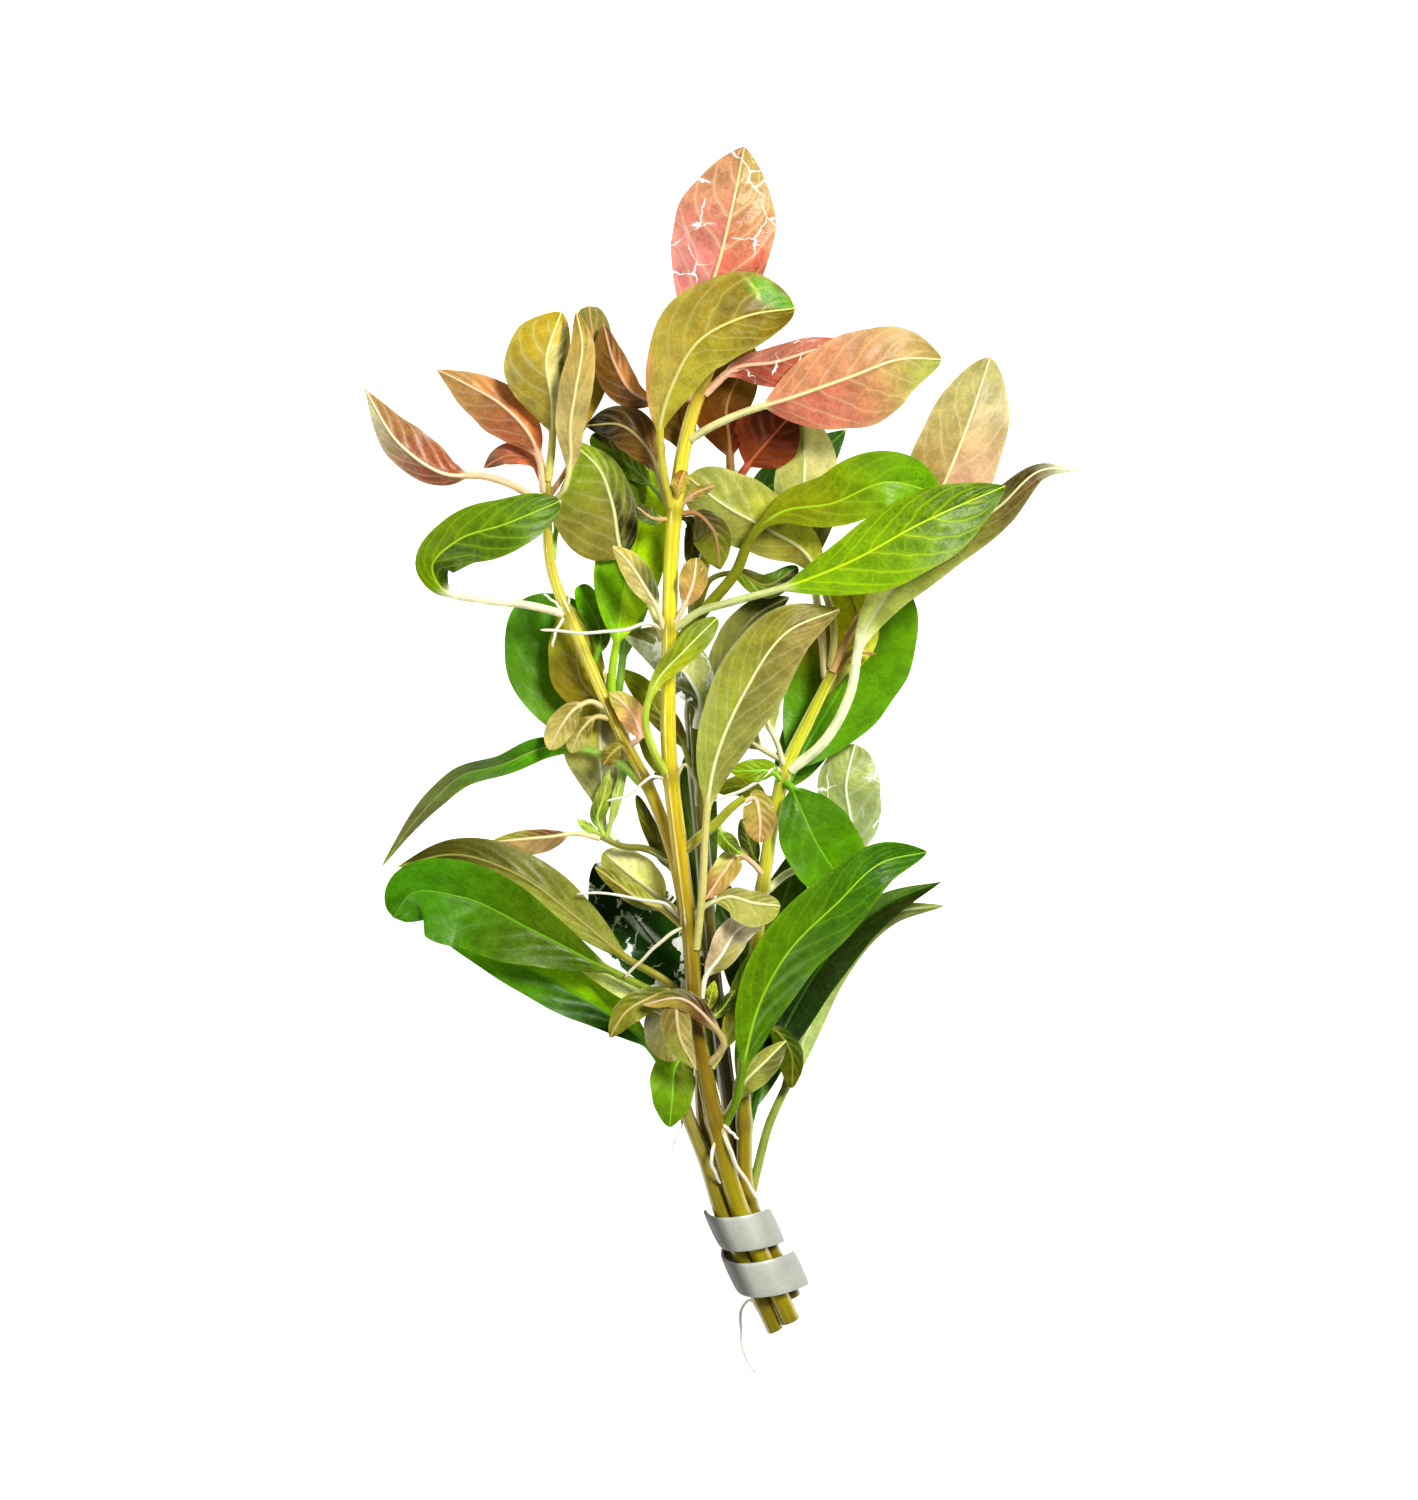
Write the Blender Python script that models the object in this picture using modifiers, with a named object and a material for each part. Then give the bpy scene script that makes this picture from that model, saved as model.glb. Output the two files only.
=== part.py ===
"""A lying bunch of cut water-plant stems, tied near the cut ends by a soft metal strip.

Every length below is in millimetres; the last section turns them into metres. The bunch lies
on the plane z = 0 with its tips towards +Y, and the middle of its footprint is the origin.
A stem follows a smooth path through a few points, and a leaf is a loft along its midrib.
"""

import bpy
import bmesh
import numpy as np

# Sizes shared by all pieces
MM = 0.001
GAP = 0.55
BLADE_THICK = 0.36
STALK_RADIUS = 0.7
LEAF_RINGS = 8
RING_SIDES = 8
SMALL_RING_SIDES = 4
TIP_HALF = 0.22
STEM_STEP = 9.0
ROOT_STEP = 8.0

# The strip: a flat soft band wound one and a half turns round the stems
STRIP_CENTRE = (6, -83.5, 5.82)
STRIP_AXIS = (-0.4, 0.88, 0.25)
STRIP_INNER = 4.45
STRIP_GROWTH_PER_TURN = 0.45
STRIP_THICK = 0.7
STRIP_WIDTH = 6.4
STRIP_TURNS = 1.5
STRIP_START_HEIGHT = 8.8
STRIP_DROP_PER_TURN = 8.5
STRIP_TAB_TURN = 0.06
STRIP_TAB_FLARE = 0.7
STRIP_STEPS_PER_TURN = 20
STRIP_TONE = "#AEB0A6"

STEM_TONES = {
    "stem_main": "#C8A808", "stem_left": "#B4A41C", "stem_right": "#B8A82C", "stem_back": "#8C8C18",
    "stem_lower_left": "#8A6A20", "shoot_low_left": "#8C8420", "shoot_low_right": "#B48C38"}

# Stems: slot is the place in the strip (across, up), below is how far the cut end reaches under
# the strip's middle, radius runs from the cut end to the top, path is the free part. A side
# shoot starts on its host stem at the height at.
STEMS = {
    "stem_main": dict(slot=(0.7, 2.3), below=11,
        radius=(1.5, 1.5, 1.5, 1.45, 1.4, 1.4, 1.4, 1.35, 1.3, 1.3, 1.2, 0.9),
        path=((-1, -61.5, 15), (-4.5, -43, 19), (-5.5, -29.5, 21.5), (-7.5, -13, 23.5),
              (-9, 0.5, 24.5), (-9, 21.5, 26), (-8, 42.5, 27), (-5, 58.5, 28), (-2, 66, 28.5))),
    "stem_left": dict(slot=(-1.7, -1.85), below=8,
        radius=(1.15, 1.15, 1.15, 1.2, 1.25, 1.25, 1.25, 1.2, 1.15, 1.1, 1.1, 1.05, 0.8),
        path=((-3, -61.5, 10.5), (-4, -46.5, 14), (-5.5, -31.5, 17), (-8, -17, 19.5),
              (-11.5, -6.5, 20.5), (-16.5, 3.5, 21), (-20.5, 12, 21), (-24.5, 21.5, 21),
              (-28.5, 31.5, 21), (-29.5, 47.5, 22))),
    "stem_right": dict(slot=(2.75, -0.1), below=8,
        radius=(1.2, 1.2, 1.2, 1.2, 1.2, 1.15, 1.1, 1.1, 1.1, 1.05, 0.8),
        path=((3.5, -61.5, 11), (3.5, -49.5, 13), (5, -34.5, 13.5), (6.5, -21.5, 14.5),
              (8.5, -9, 14.5), (10.5, -1, 15), (14, 6.5, 15), (18.5, 15.5, 15.5))),
    "stem_back": dict(slot=(1.25, -2.5), below=7.8,
        radius=(1.15, 1.15, 1.15, 1.15, 1.15, 1.15, 1.1, 1.1, 1.05, 1, 0.9, 0.7),
        path=((1.5, -61.5, 8.5), (0, -49.5, 10), (-2, -33, 11), (-3.5, -14.5, 11.5), (-5, 3.5, 12.5),
              (-5, 17, 14), (-4, 30.5, 16), (0, 42, 18.5), (2, 48.5, 20.5))),
    "stem_lower_left": dict(slot=(-2.3, 1.3), below=11.6, radius=(1.4, 1.35, 1.3, 1.25, 1.1, 0.9),
        path=((-3, -66.5, 12), (-6, -59, 13.5), (-8, -53, 14.5))),
    "shoot_low_left": dict(host="stem_left", at=-16.5, radius=(0.6, 0.6, 0.55, 0.5),
        path=((-13, -14.5, 18), (-17, -14, 18), (-20.5, -12.5, 18))),
    "shoot_low_right": dict(host="stem_main", at=-15, radius=(0.8, 0.8, 0.8, 0.7, 0.6),
        path=((-4, -12.5, 22.5), (-1.5, -10.5, 22.5), (1.5, -7.5, 22.5), (3.5, -6, 22.5))),
}

# Leaves: stem and at say where the stalk starts (a height on an upright stem, or a share of a
# shoot's length up to 1). side is the face turned up. half is the half width left and right of
# the midrib, petiole the stalk's share of the length, widest and base shape the blade, roll
# turns it about the midrib from stalk to tip, fold and cup bend its halves.
LEAVES = {
    "leaf_top_pink": dict(stem="stem_main", at=63, side="under", half=(9, 8.1), petiole=0.16,
        widest=0.54, base=1, roll=(8, -6), fold=0.12, cup=0.05, rings=7, tone="#E08868",
        path=((-3, 70.5, 28.5), (-2.5, 77, 29.5), (-0.5, 84, 31), (1.5, 92.5, 31),
              (3.5, 102.5, 28))),
    "leaf_olive_hook": dict(stem="stem_main", at=42.5, side="under", half=(8.4, 5.7), petiole=0.27,
        widest=0.62, base=0.95, roll=(0, 10, 0), fold=0.1, cup=0.1, rings=9, tone="#A89838",
        path=((-10, 48.5, 30), (-10.5, 55.5, 32.5), (-8.5, 62.5, 34.5), (-4, 70, 36),
              (3.5, 74, 35.5), (12, 75.5, 33))),
    "leaf_pink_right": dict(stem="stem_main", at=54, side="under", half=(7, 8.7), petiole=0.3,
        widest=0.52, base=0.85, fold=0.12, cup=0.05, rings=7, tone="#D08868",
        path=((-2.5, 55.5, 29.5), (3, 58, 31), (11, 60.5, 32.5), (21, 64, 33), (29.5, 67, 31.5),
              (36.5, 67, 28.5))),
    "leaf_red_folded": dict(stem="stem_main", at=61.5, side="under", half=(2.7, 4.3), petiole=0.15,
        widest=0.5, base=0.9, fold=0.15, rings=7, tone="#D05540",
        path=((2, 65.5, 29.5), (8.5, 66.5, 30.5), (15, 68.5, 30), (21.5, 70, 29))),
    "leaf_brown_top": dict(stem="stem_back", at=48, side="under", half=(3.3, 3.7), petiole=0.3,
        widest=0.5, base=1, rings=7, tone="#7A3A20",
        path=((1, 53.5, 22), (0.5, 59, 23.5), (3, 65, 24.5), (5, 69.5, 24))),
    "leaf_brown_behind_hook": dict(stem="stem_main", at=51, side="under", half=(3, 2.2),
        petiole=0.2, widest=0.5, base=0.8, stalk=0.45, rings=5, grown_on=True,
        path=((-6.5, 53.5, 24.5), (-7.5, 58, 23.5), (-6, 64, 23.5))),
    "leaf_dark_red_centre": dict(stem="stem_back", at=47, side="under", half=(5, 4.2), petiole=0.2,
        widest=0.5, base=0.9, rings=7, tone="#963420",
        path=((4.5, 50, 21.5), (7.5, 53.5, 23.5), (12, 58.5, 24))),
    "leaf_pale_olive_upper": dict(stem="stem_right", at=13.5, side="under", half=(5, 6),
        petiole=0.42, widest=0.5, base=0.9, fold=0.1, rings=7, tone="#C4C478",
        path=((16.5, 20.5, 14.5), (15, 30.5, 18), (14, 38, 19.5), (13.5, 45.5, 22),
              (13.5, 53, 22.5), (13, 59.5, 22))),
    "leaf_pale_olive_centre": dict(stem="stem_right", at=15.5, side="under", half=(5.3, 6.3),
        petiole=0.34, widest=0.64, base=0.9, fold=0.08, rings=7, tone="#B8B460",
        path=((18.5, 21.5, 17), (16.5, 29.5, 18.5), (13.5, 35, 21), (7, 39, 22.5), (0.5, 42.5, 24),
              (-6, 47.5, 23.5))),
    "leaf_green_right_upper": dict(stem="stem_main", at=19, side="upper", half=(5.7, 4.5),
        petiole=0.4, widest=0.6, base=1.1, fold=0.1, cup=0.05, stalk=1, rings=9, tone="#4F9408",
        path=((-3, 25.5, 25), (2, 31.5, 25), (5, 38, 26), (9.5, 41.5, 27), (18, 43, 28),
              (27, 46.5, 28.5), (36.5, 44.5, 25.5))),
    "leaf_green_right_front": dict(stem="stem_main", at=22, side="upper", half=(5.3, 7.7),
        petiole=0.3, widest=0.56, base=1.2, fold=0.12, cup=0.06, rings=9, tone="#76B410",
        path=((-4, 25, 28), (1, 26.5, 30), (10, 29, 31.5), (21.5, 33.5, 33.5), (32.5, 39.5, 33),
              (47, 46, 28.5))),
    "leaf_long_right": dict(stem="stem_right", at=-1, side="under", half=(4, 4.2), petiole=0.3,
        widest=0.45, base=1, roll=(0, 0, 0, 25), fold=0.1, stalk=0.9, rings=9, tone="#A89C50",
        path=((16.5, 3, 17.5), (21, 11, 19.5), (23, 20.5, 21.5), (27.5, 28, 23.5), (36, 35.5, 25.5),
              (46, 42.5, 26), (53, 48.5, 24.5), (60, 48.5, 22))),
    "leaf_tan_right": dict(stem="stem_right", at=15, side="under", half=(7, 7.3), petiole=0.34,
        widest=0.55, base=0.8, fold=0.1, cup=0.05, tone="#D0A870",
        path=((22, 23, 17), (28, 31, 19.5), (33.5, 39.5, 21.5), (37.5, 48, 23.5), (40.5, 55.5, 24),
              (44.5, 67.5, 20.5))),
    "leaf_bud_right": dict(stem="stem_right", at=15, side="under", half=(0.8, 0.8), petiole=0.1,
        widest=0.5, base=0.8, stalk=0.4, rings=4, grown_on=True,
        path=((21.5, 18, 16.5), (25.5, 18, 16.5))),
    "leaf_pink_far_left": dict(stem="stem_left", at=42.5, side="under", half=(2.2, 4.3),
        petiole=0.36, widest=0.42, base=0.9, fold=0.1, rings=7, tone="#B87048",
        path=((-34, 45.5, 23), (-39.5, 47.5, 24), (-46.5, 48, 25), (-53.5, 52.5, 25.5),
              (-60, 62.5, 23.5))),
    "leaf_rust_left": dict(stem="stem_left", at=45, side="under", half=(5, 3.4), petiole=0.2,
        widest=0.45, base=0.9, fold=0.1, rings=7, tone="#9C5028",
        path=((-30.5, 50, 22.5), (-32, 54, 23), (-37, 59.5, 24), (-43, 63, 24.5), (-48, 65.5, 24))),
    "leaf_rust_small": dict(stem="stem_left", at=46, side="under", half=(1.5, 2.2), petiole=0.2,
        widest=0.5, base=0.9, stalk=0.5, rings=5, grown_on=True,
        path=((-32.5, 50.5, 20.5), (-36, 51, 21), (-40, 49, 21.5))),
    "leaf_olive_left": dict(stem="stem_left", at=46.8, side="under", half=(7, 4), petiole=0.28,
        widest=0.55, base=0.8, fold=0.15, cup=0.05, rings=7, tone="#B0A23C",
        path=((-28.5, 53.5, 24.5), (-28.5, 60, 27), (-29.5, 66.5, 29), (-27, 75, 26.5))),
    "leaf_olive_beside": dict(stem="stem_left", at=43, side="under", half=(2.8, 2.8), petiole=0.2,
        widest=0.5, base=0.8, fold=0.1, stalk=0.5, rings=6, grown_on=True,
        path=((-26.5, 45.5, 24.5), (-25.5, 50, 26.5), (-25.5, 56, 29), (-24.5, 62.5, 31),
              (-23.5, 69.5, 31), (-24.5, 75, 29))),
    "leaf_maroon_left": dict(stem="stem_main", at=60, side="under", half=(3.7, 2.3), petiole=0.25,
        widest=0.5, base=0.9, fold=0.1, rings=7, tone="#7C4424",
        path=((-7.5, 60.5, 28), (-11, 60, 27.5), (-15, 61.5, 27), (-18, 66, 26), (-20, 73, 24))),
    "leaf_brown_behind_left": dict(stem="stem_left", at=44.5, side="under", half=(2.8, 3.2),
        petiole=0.3, widest=0.7, base=0.8, stalk=0.5, rings=6, grown_on=True,
        path=((-26, 49, 20), (-23.5, 58, 21), (-21.5, 66, 22), (-22.5, 76, 22))),
    "leaf_dark_centre_left": dict(stem="stem_main", at=42.5, side="under", half=(3.5, 3.7),
        petiole=0.25, widest=0.5, base=0.9, fold=0.1, rings=7, tone="#5A4418",
        path=((-10.5, 47, 27), (-12.5, 52, 27.5), (-17, 56, 27.5), (-23, 56, 26))),
    "leaf_green_behind_olive": dict(stem="stem_main", at=42, side="upper", half=(2.3, 2.3),
        petiole=0.3, widest=0.6, base=0.7, stalk=0.45, rings=5, grown_on=True,
        path=((-12, 46, 23.5), (-17, 50.5, 22.5), (-22, 54.5, 21.5))),
    "leaf_olive_mid_left": dict(stem="stem_main", at=20.5, side="under", half=(9, 3.8), petiole=0.4,
        widest=0.35, base=0.5, fold=0.08, rings=7, tone="#A09040",
        path=((-12.5, 27, 24), (-17, 35, 23.5), (-18.5, 43, 24), (-20.5, 48.5, 24),
              (-26.5, 54, 23))),
    "leaf_green_left_front": dict(stem="stem_left", at=25, side="upper", half=(4.5, 5),
        petiole=0.36, widest=0.58, base=0.9, fold=0.08, rings=9, tone="#4C9404",
        path=((-32, 26, 22.5), (-40.5, 27, 23.5), (-46.5, 28.5, 24.5), (-48.5, 32.5, 27),
              (-44, 37, 29.5), (-36.5, 39.5, 30.5), (-27, 43.5, 28.5))),
    "leaf_green_left_back": dict(stem="stem_left", at=33.5, side="upper", half=(2, 2.2),
        petiole=0.2, widest=0.5, base=0.9, stalk=0.5, rings=6, grown_on=True,
        path=((-28, 38, 20), (-26, 43.5, 19.5), (-24, 48.5, 19.5), (-26, 53.5, 19))),
    "leaf_green_centre_left": dict(stem="stem_left", at=9.5, side="upper", half=(6, 5.7),
        petiole=0.22, widest=0.45, base=0.9, fold=0.1, cup=0.05, tone="#4F9A08",
        path=((-18.5, 15.5, 21.5), (-17.5, 21.5, 21.5), (-16.5, 28.5, 21.5), (-14.5, 37, 21.5),
              (-12.5, 45.5, 21.5), (-12, 53.5, 20))),
    "leaf_green_behind_joint": dict(stem="stem_left", at=16, side="upper", half=(2.2, 2.2),
        petiole=0.15, widest=0.6, base=0.6, stalk=0.5, rings=4, grown_on=True,
        path=((-20.5, 21, 17.5), (-22, 25.5, 17), (-24, 29.5, 16.5))),
    "leaf_young_left": dict(stem="stem_main", at=22.5, side="under", half=(2.2, 2.3), petiole=0.2,
        widest=0.5, base=0.9, stalk=0.5, rings=5, grown_on=True,
        path=((-11, 25.5, 27.5), (-13, 29, 28.5), (-16, 33.5, 29), (-18.5, 36, 28.5))),
    "leaf_young_right": dict(stem="stem_main", at=23.5, side="under", half=(2.5, 2.3), petiole=0.25,
        widest=0.6, base=0.9, stalk=0.5, rings=5, grown_on=True,
        path=((-6.5, 26, 28), (-5, 30, 29), (-4.5, 34, 28.5))),
    "leaf_curled_dark": dict(stem="stem_main", at=41.5, side="under", half=(2.5, 3.8), petiole=0.15,
        widest=0.5, base=0.9, stalk=0.5, rings=5, grown_on=True,
        path=((-5, 41.5, 27.5), (-2, 39, 28), (-0.5, 32, 28))),
    "leaf_dark_beside_joint": dict(stem="stem_main", at=41, side="under", half=(1.6, 1.6),
        petiole=0.1, widest=0.5, base=0.6, stalk=0.4, rings=4, grown_on=True,
        path=((-5.5, 40, 25), (-5.5, 32.5, 25))),
    "leaf_joint_left": dict(stem="stem_main", at=40.5, side="under", half=(1.4, 1.4), petiole=0.1,
        widest=0.55, base=0.7, stalk=0.4, rings=4, grown_on=True,
        path=((-11.5, 40.5, 27.5), (-14.5, 42.5, 28.5))),
    "leaf_joint_top": dict(stem="stem_main", at=44, side="under", half=(1.4, 1.4), petiole=0.1,
        widest=0.6, base=0.7, stalk=0.4, rings=4, grown_on=True,
        path=((-7.5, 45.5, 29.5), (-6.5, 48.5, 30))),
    "leaf_joint_right": dict(stem="stem_main", at=43, side="under", half=(0.9, 1), petiole=0.1,
        widest=0.5, base=0.7, stalk=0.4, rings=4, grown_on=True,
        path=((-5, 44.5, 28.5), (-1.5, 46, 29.5))),
    "leaf_dark_small_right": dict(stem="stem_back", at=27, side="upper", half=(1.8, 2.3),
        petiole=0.35, widest=0.6, base=0.9, stalk=0.5, rings=6, grown_on=True,
        path=((-2, 30.5, 18), (2, 31.5, 19), (7, 29.5, 19.5), (12.5, 32.5, 18.5))),
    "leaf_dark_green_left": dict(stem="stem_left", at=-1.5, side="upper", half=(8.2, 6),
        petiole=0.22, widest=0.68, base=0.9, fold=0.1, cup=0.05, tone="#2F7004",
        path=((-17.5, 2, 14.5), (-22, 7, 15), (-26.5, 12, 13.5), (-28.5, 19.5, 12.5),
              (-27, 28, 12))),
    "leaf_brown_left": dict(stem="stem_left", at=8.5, side="under", half=(5, 4.3), petiole=0.08,
        widest=0.45, base=0.7, fold=0.08, rings=7, tone="#7C6C14",
        path=((-21, 10.5, 19), (-23.5, 13.5, 18), (-24.5, 18.5, 17.5), (-26, 26.5, 16.5))),
    "leaf_grey_left": dict(stem="shoot_low_left", at=0.78, side="under", half=(6.5, 5),
        petiole=0.14, widest=0.6, base=1.3, fold=0.08, tone="#8C8C5C",
        path=((-20, -10.5, 16), (-20, -5.5, 17), (-20.5, 1, 18), (-20.5, 8, 16.5),
              (-19.5, 15, 15.5))),
    "leaf_green_narrow": dict(stem="stem_main", at=-1.5, side="upper", half=(2.2, 2.3), petiole=0.3,
        widest=0.72, base=1.5, fold=0.1, rings=7, tone="#86B414",
        path=((-11.5, 1.5, 27), (-13, 7.5, 28.5), (-11, 13.5, 29.5), (-6.5, 18.5, 30.5),
              (-1, 24, 29))),
    "leaf_pale_wet": dict(stem="stem_back", at=6, side="under", half=(3.7, 4.7), petiole=0.1,
        widest=0.45, base=0.8, fold=0.1, rings=7, tone="#8C9870",
        path=((-4, 10.5, 15.5), (-5.5, 13.5, 16.5), (-9.5, 18, 17), (-17, 21.5, 17))),
    "leaf_green_left_long": dict(stem="stem_left", at=-3.5, side="upper", half=(3, 3), petiole=0.2,
        widest=0.45, base=0.8, roll=(0, 15, 35, 50, 55, 50, 55), fold=0.05, rings=10,
        tone="#4C8C0C",
        path=((-17, -0.5, 20.5), (-23, 2, 19.5), (-29, 2.5, 20), (-37, -0.5, 22.5),
              (-44, -2.5, 23.5), (-48, -6, 23), (-52, -10.5, 21.5), (-57, -17.5, 18.5))),
    "leaf_olive_left_low": dict(stem="stem_left", at=-40.5, side="under", half=(3.3, 4.2),
        petiole=0.24, widest=0.45, base=0.8, fold=0.1, cup=0.05, tone="#A09A3C",
        path=((-8.5, -37.5, 15.5), (-16.5, -32.5, 17.5), (-24.5, -26, 19.5), (-34, -19, 21),
              (-44.5, -15.5, 20.5), (-54.5, -17.5, 17.5))),
    "leaf_green_left_low": dict(stem="stem_main", at=-41.5, side="upper", half=(8.3, 6),
        petiole=0.24, widest=0.66, base=1.1, fold=0.1, cup=0.05, tone="#3F8C08",
        path=((-9.5, -39.5, 20), (-20.5, -34, 20.5), (-32, -28, 22), (-44, -22.5, 25.5),
              (-52, -22, 25.5), (-55, -26, 24))),
    "leaf_dark_left_low": dict(stem="stem_lower_left", at=-54.5, side="upper", half=(4.3, 5),
        petiole=0.16, widest=0.5, base=0.9, fold=0.1, cup=0.05, rings=7, tone="#1F5404",
        path=((-12, -48, 14), (-18.5, -42.5, 14.5), (-27, -37.5, 16), (-37, -32.5, 17.5),
              (-47.5, -29, 16.5))),
    "leaf_pale_low_left": dict(stem="stem_main", at=-44, side="under", half=(1.8, 1.8), petiole=0.2,
        widest=0.55, base=0.8, stalk=0.5, rings=5, grown_on=True,
        path=((-10, -42, 19), (-15.5, -38.5, 18), (-21.5, -34.5, 18), (-27, -31, 17.5))),
    "leaf_khaki_centre_left": dict(stem="stem_left", at=-25.5, side="under", half=(3.8, 4),
        petiole=0.25, widest=0.5, base=0.6, fold=0.06, rings=6, tone="#B8B458",
        path=((-9, -24, 16), (-12, -21.5, 16), (-16, -18.5, 16), (-20, -15, 15.5))),
    "leaf_brown_small_left": dict(stem="stem_left", at=-27, side="under", half=(1.5, 1.8),
        petiole=0.2, widest=0.5, base=0.8, stalk=0.5, rings=5, grown_on=True,
        path=((-10.5, -24.5, 18.5), (-14, -23, 18), (-17.5, -20.5, 18.5), (-21.5, -17.5, 18))),
    "leaf_dark_back_left": dict(stem="stem_back", at=-41.5, side="upper", half=(7, 7.3),
        petiole=0.12, widest=0.5, base=0.7, fold=0.05, cup=0.05, rings=7, tone="#123C04",
        path=((-5.5, -37, 10), (-10.5, -31.5, 10.5), (-15.5, -25, 10.5), (-21.5, -17, 10))),
    "leaf_long_olive_centre": dict(stem="stem_main", at=-31, side="under", half=(5.7, 6),
        petiole=0.34, widest=0.55, base=1.1, fold=0.1, cup=0.05, rings=9, tone="#ACA850",
        path=((-3.5, -21.5, 25.5), (-3, -11.5, 27), (-1.5, -0.5, 29), (3.5, 11.5, 31),
              (10.5, 21.5, 31.5), (19.5, 25.5, 28.5))),
    "leaf_olive_behind_right": dict(stem="stem_right", at=12, side="under", half=(3.7, 3.7),
        petiole=0.15, widest=0.5, base=0.8, rings=7, tone="#6C6C14",
        path=((21, 16.5, 14), (22.5, 21.5, 13.5), (21, 28, 13.5), (17, 33.5, 13.5))),
    "leaf_green_right_back": dict(stem="stem_right", at=-5, side="upper", half=(9.7, 8.7),
        petiole=0.12, widest=0.56, base=0.8, fold=0.05, cup=0.08, rings=7, tone="#3F8C04",
        path=((13, 1, 11), (18.5, 10.5, 9.5), (24, 19.5, 10), (30.5, 29, 10.5))),
    "leaf_khaki_small_right": dict(stem="stem_right", at=0, side="under", half=(1.8, 2.5),
        petiole=0.3, widest=0.5, base=0.8, stalk=0.5, rings=5, grown_on=True,
        path=((7.5, 1.5, 17), (4.5, 3.5, 19), (2, 6.5, 20.5), (0, 10.5, 20.5))),
    "leaf_small_green_mid": dict(stem="stem_right", at=-6.5, side="upper", half=(1.8, 1.8),
        petiole=0.15, widest=0.5, base=0.7, stalk=0.45, rings=4, grown_on=True,
        path=((6, -5.5, 12), (3, -4, 11.5), (-1, -5, 11))),
    "leaf_pale_small_right": dict(stem="stem_right", at=-0.5, side="under", half=(1.3, 2.2),
        petiole=0.3, widest=0.6, base=0.9, stalk=0.5, rings=5, grown_on=True,
        path=((9, 3, 17.5), (7.5, 6.5, 18.5), (7.5, 10.5, 19), (8.5, 15.5, 19))),
    "leaf_green_small_right": dict(stem="stem_right", at=-3, side="upper", half=(1.7, 2),
        petiole=0.15, widest=0.5, base=0.8, stalk=0.5, rings=5, grown_on=True,
        path=((8, -1.5, 18.5), (5, -1.5, 19.5), (1, -1.5, 19))),
    "leaf_pink_small_right": dict(stem="stem_right", at=-18.5, side="under", half=(2.2, 2.2),
        petiole=0.25, widest=0.5, base=0.8, stalk=0.5, rings=5, grown_on=True,
        path=((5, -17, 17), (2.5, -15.5, 19), (0, -18.5, 20), (-3, -23, 20))),
    "leaf_dark_small_centre": dict(stem="stem_right", at=-18, side="upper", half=(1.6, 1.6),
        petiole=0.15, widest=0.5, base=0.7, stalk=0.45, rings=4, grown_on=True,
        path=((5, -15.5, 12.5), (4, -12.5, 12), (3, -9.5, 11.5))),
    "leaf_dark_behind_centre": dict(stem="stem_right", at=-43, side="upper", half=(3.3, 3.3),
        petiole=0.15, widest=0.5, base=0.7, stalk=0.5, rings=5, grown_on=True,
        path=((3.5, -39, 8), (2.5, -31, 6.5), (0, -20, 6))),
    "leaf_khaki_folded_right": dict(stem="stem_main", at=-25.5, side="under", half=(2, 4),
        petiole=0.25, widest=0.6, base=0.8, stalk=0.5, rings=5, grown_on=True,
        path=((-2, -23.5, 23.5), (1, -22.5, 25), (5, -23.5, 26), (9.5, -24, 25))),
    "leaf_pale_folded_right": dict(stem="stem_main", at=-39.5, side="under", half=(2.7, 2.7),
        petiole=0.2, widest=0.5, base=0.8, stalk=0.5, rings=6, grown_on=True,
        path=((-3, -36, 20.5), (-0.5, -32.5, 21.5), (2.5, -28, 22), (7.5, -26, 22.5))),
    "leaf_green_right_mid": dict(stem="stem_right", at=-3.5, side="upper", half=(7, 5.8),
        petiole=0.08, widest=0.45, base=0.7, fold=0.08, cup=0.05, rings=7, tone="#4C9C08",
        path=((11, -4, 16.5), (12.5, -7, 17), (15.5, -13.5, 17), (19.5, -19.5, 15.5),
              (23, -24, 13.5))),
    "leaf_pale_right": dict(stem="stem_right", at=-21.5, side="under", half=(4.8, 5.8),
        petiole=0.38, widest=0.62, base=0.9, fold=0.08, tone="#A8BC74",
        path=((11, -18.5, 9.5), (17.5, -16, 8.5), (21, -11.5, 8), (20.5, -4, 8.5), (22, 3, 7.5))),
    "leaf_green_right_low": dict(stem="stem_main", at=-61, side="upper", half=(5.3, 5.5),
        petiole=0.17, widest=0.5, base=0.75, fold=0.12, cup=0.05, rings=9, tone="#4C9408",
        path=((2, -57, 17), (3.5, -50, 18.5), (6, -40.5, 20.5), (11, -31.5, 23.5),
              (19, -23.5, 25.5), (26, -17, 25), (34, -15, 21.5))),
    "leaf_dark_right_low": dict(stem="stem_right", at=-60.5, side="upper", half=(3.3, 4),
        petiole=0.12, widest=0.45, base=0.8, fold=0.08, rings=7, tone="#183C04",
        path=((5.5, -56, 10), (11, -43, 8), (18, -32, 7.5), (27, -24, 8), (36.5, -20, 9))),
    "leaf_rolled_right_low": dict(stem="stem_right", at=-72, side="under", half=(2.3, 2.5),
        petiole=0.25, widest=0.5, base=0.8, fold=0.1, stalk=0.8, rings=9, tone="#8C9C4C",
        path=((5.8, -67.5, 7), (7.5, -61, 6.5), (10.8, -53.5, 6), (14, -45, 5), (19, -34, 5),
              (28, -25.5, 5), (37, -24, 4.5))),
    "leaf_tan_over_stem": dict(stem="stem_main", at=-50.5, side="under", half=(1.8, 1.7),
        petiole=0.3, widest=0.5, base=0.8, fold=0.1, stalk=0.6, rings=7, tone="#B89458",
        path=((0, -47.5, 20), (-2.5, -43, 23), (-7, -39.5, 24.5), (-13.5, -40.5, 24.5))),
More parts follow.
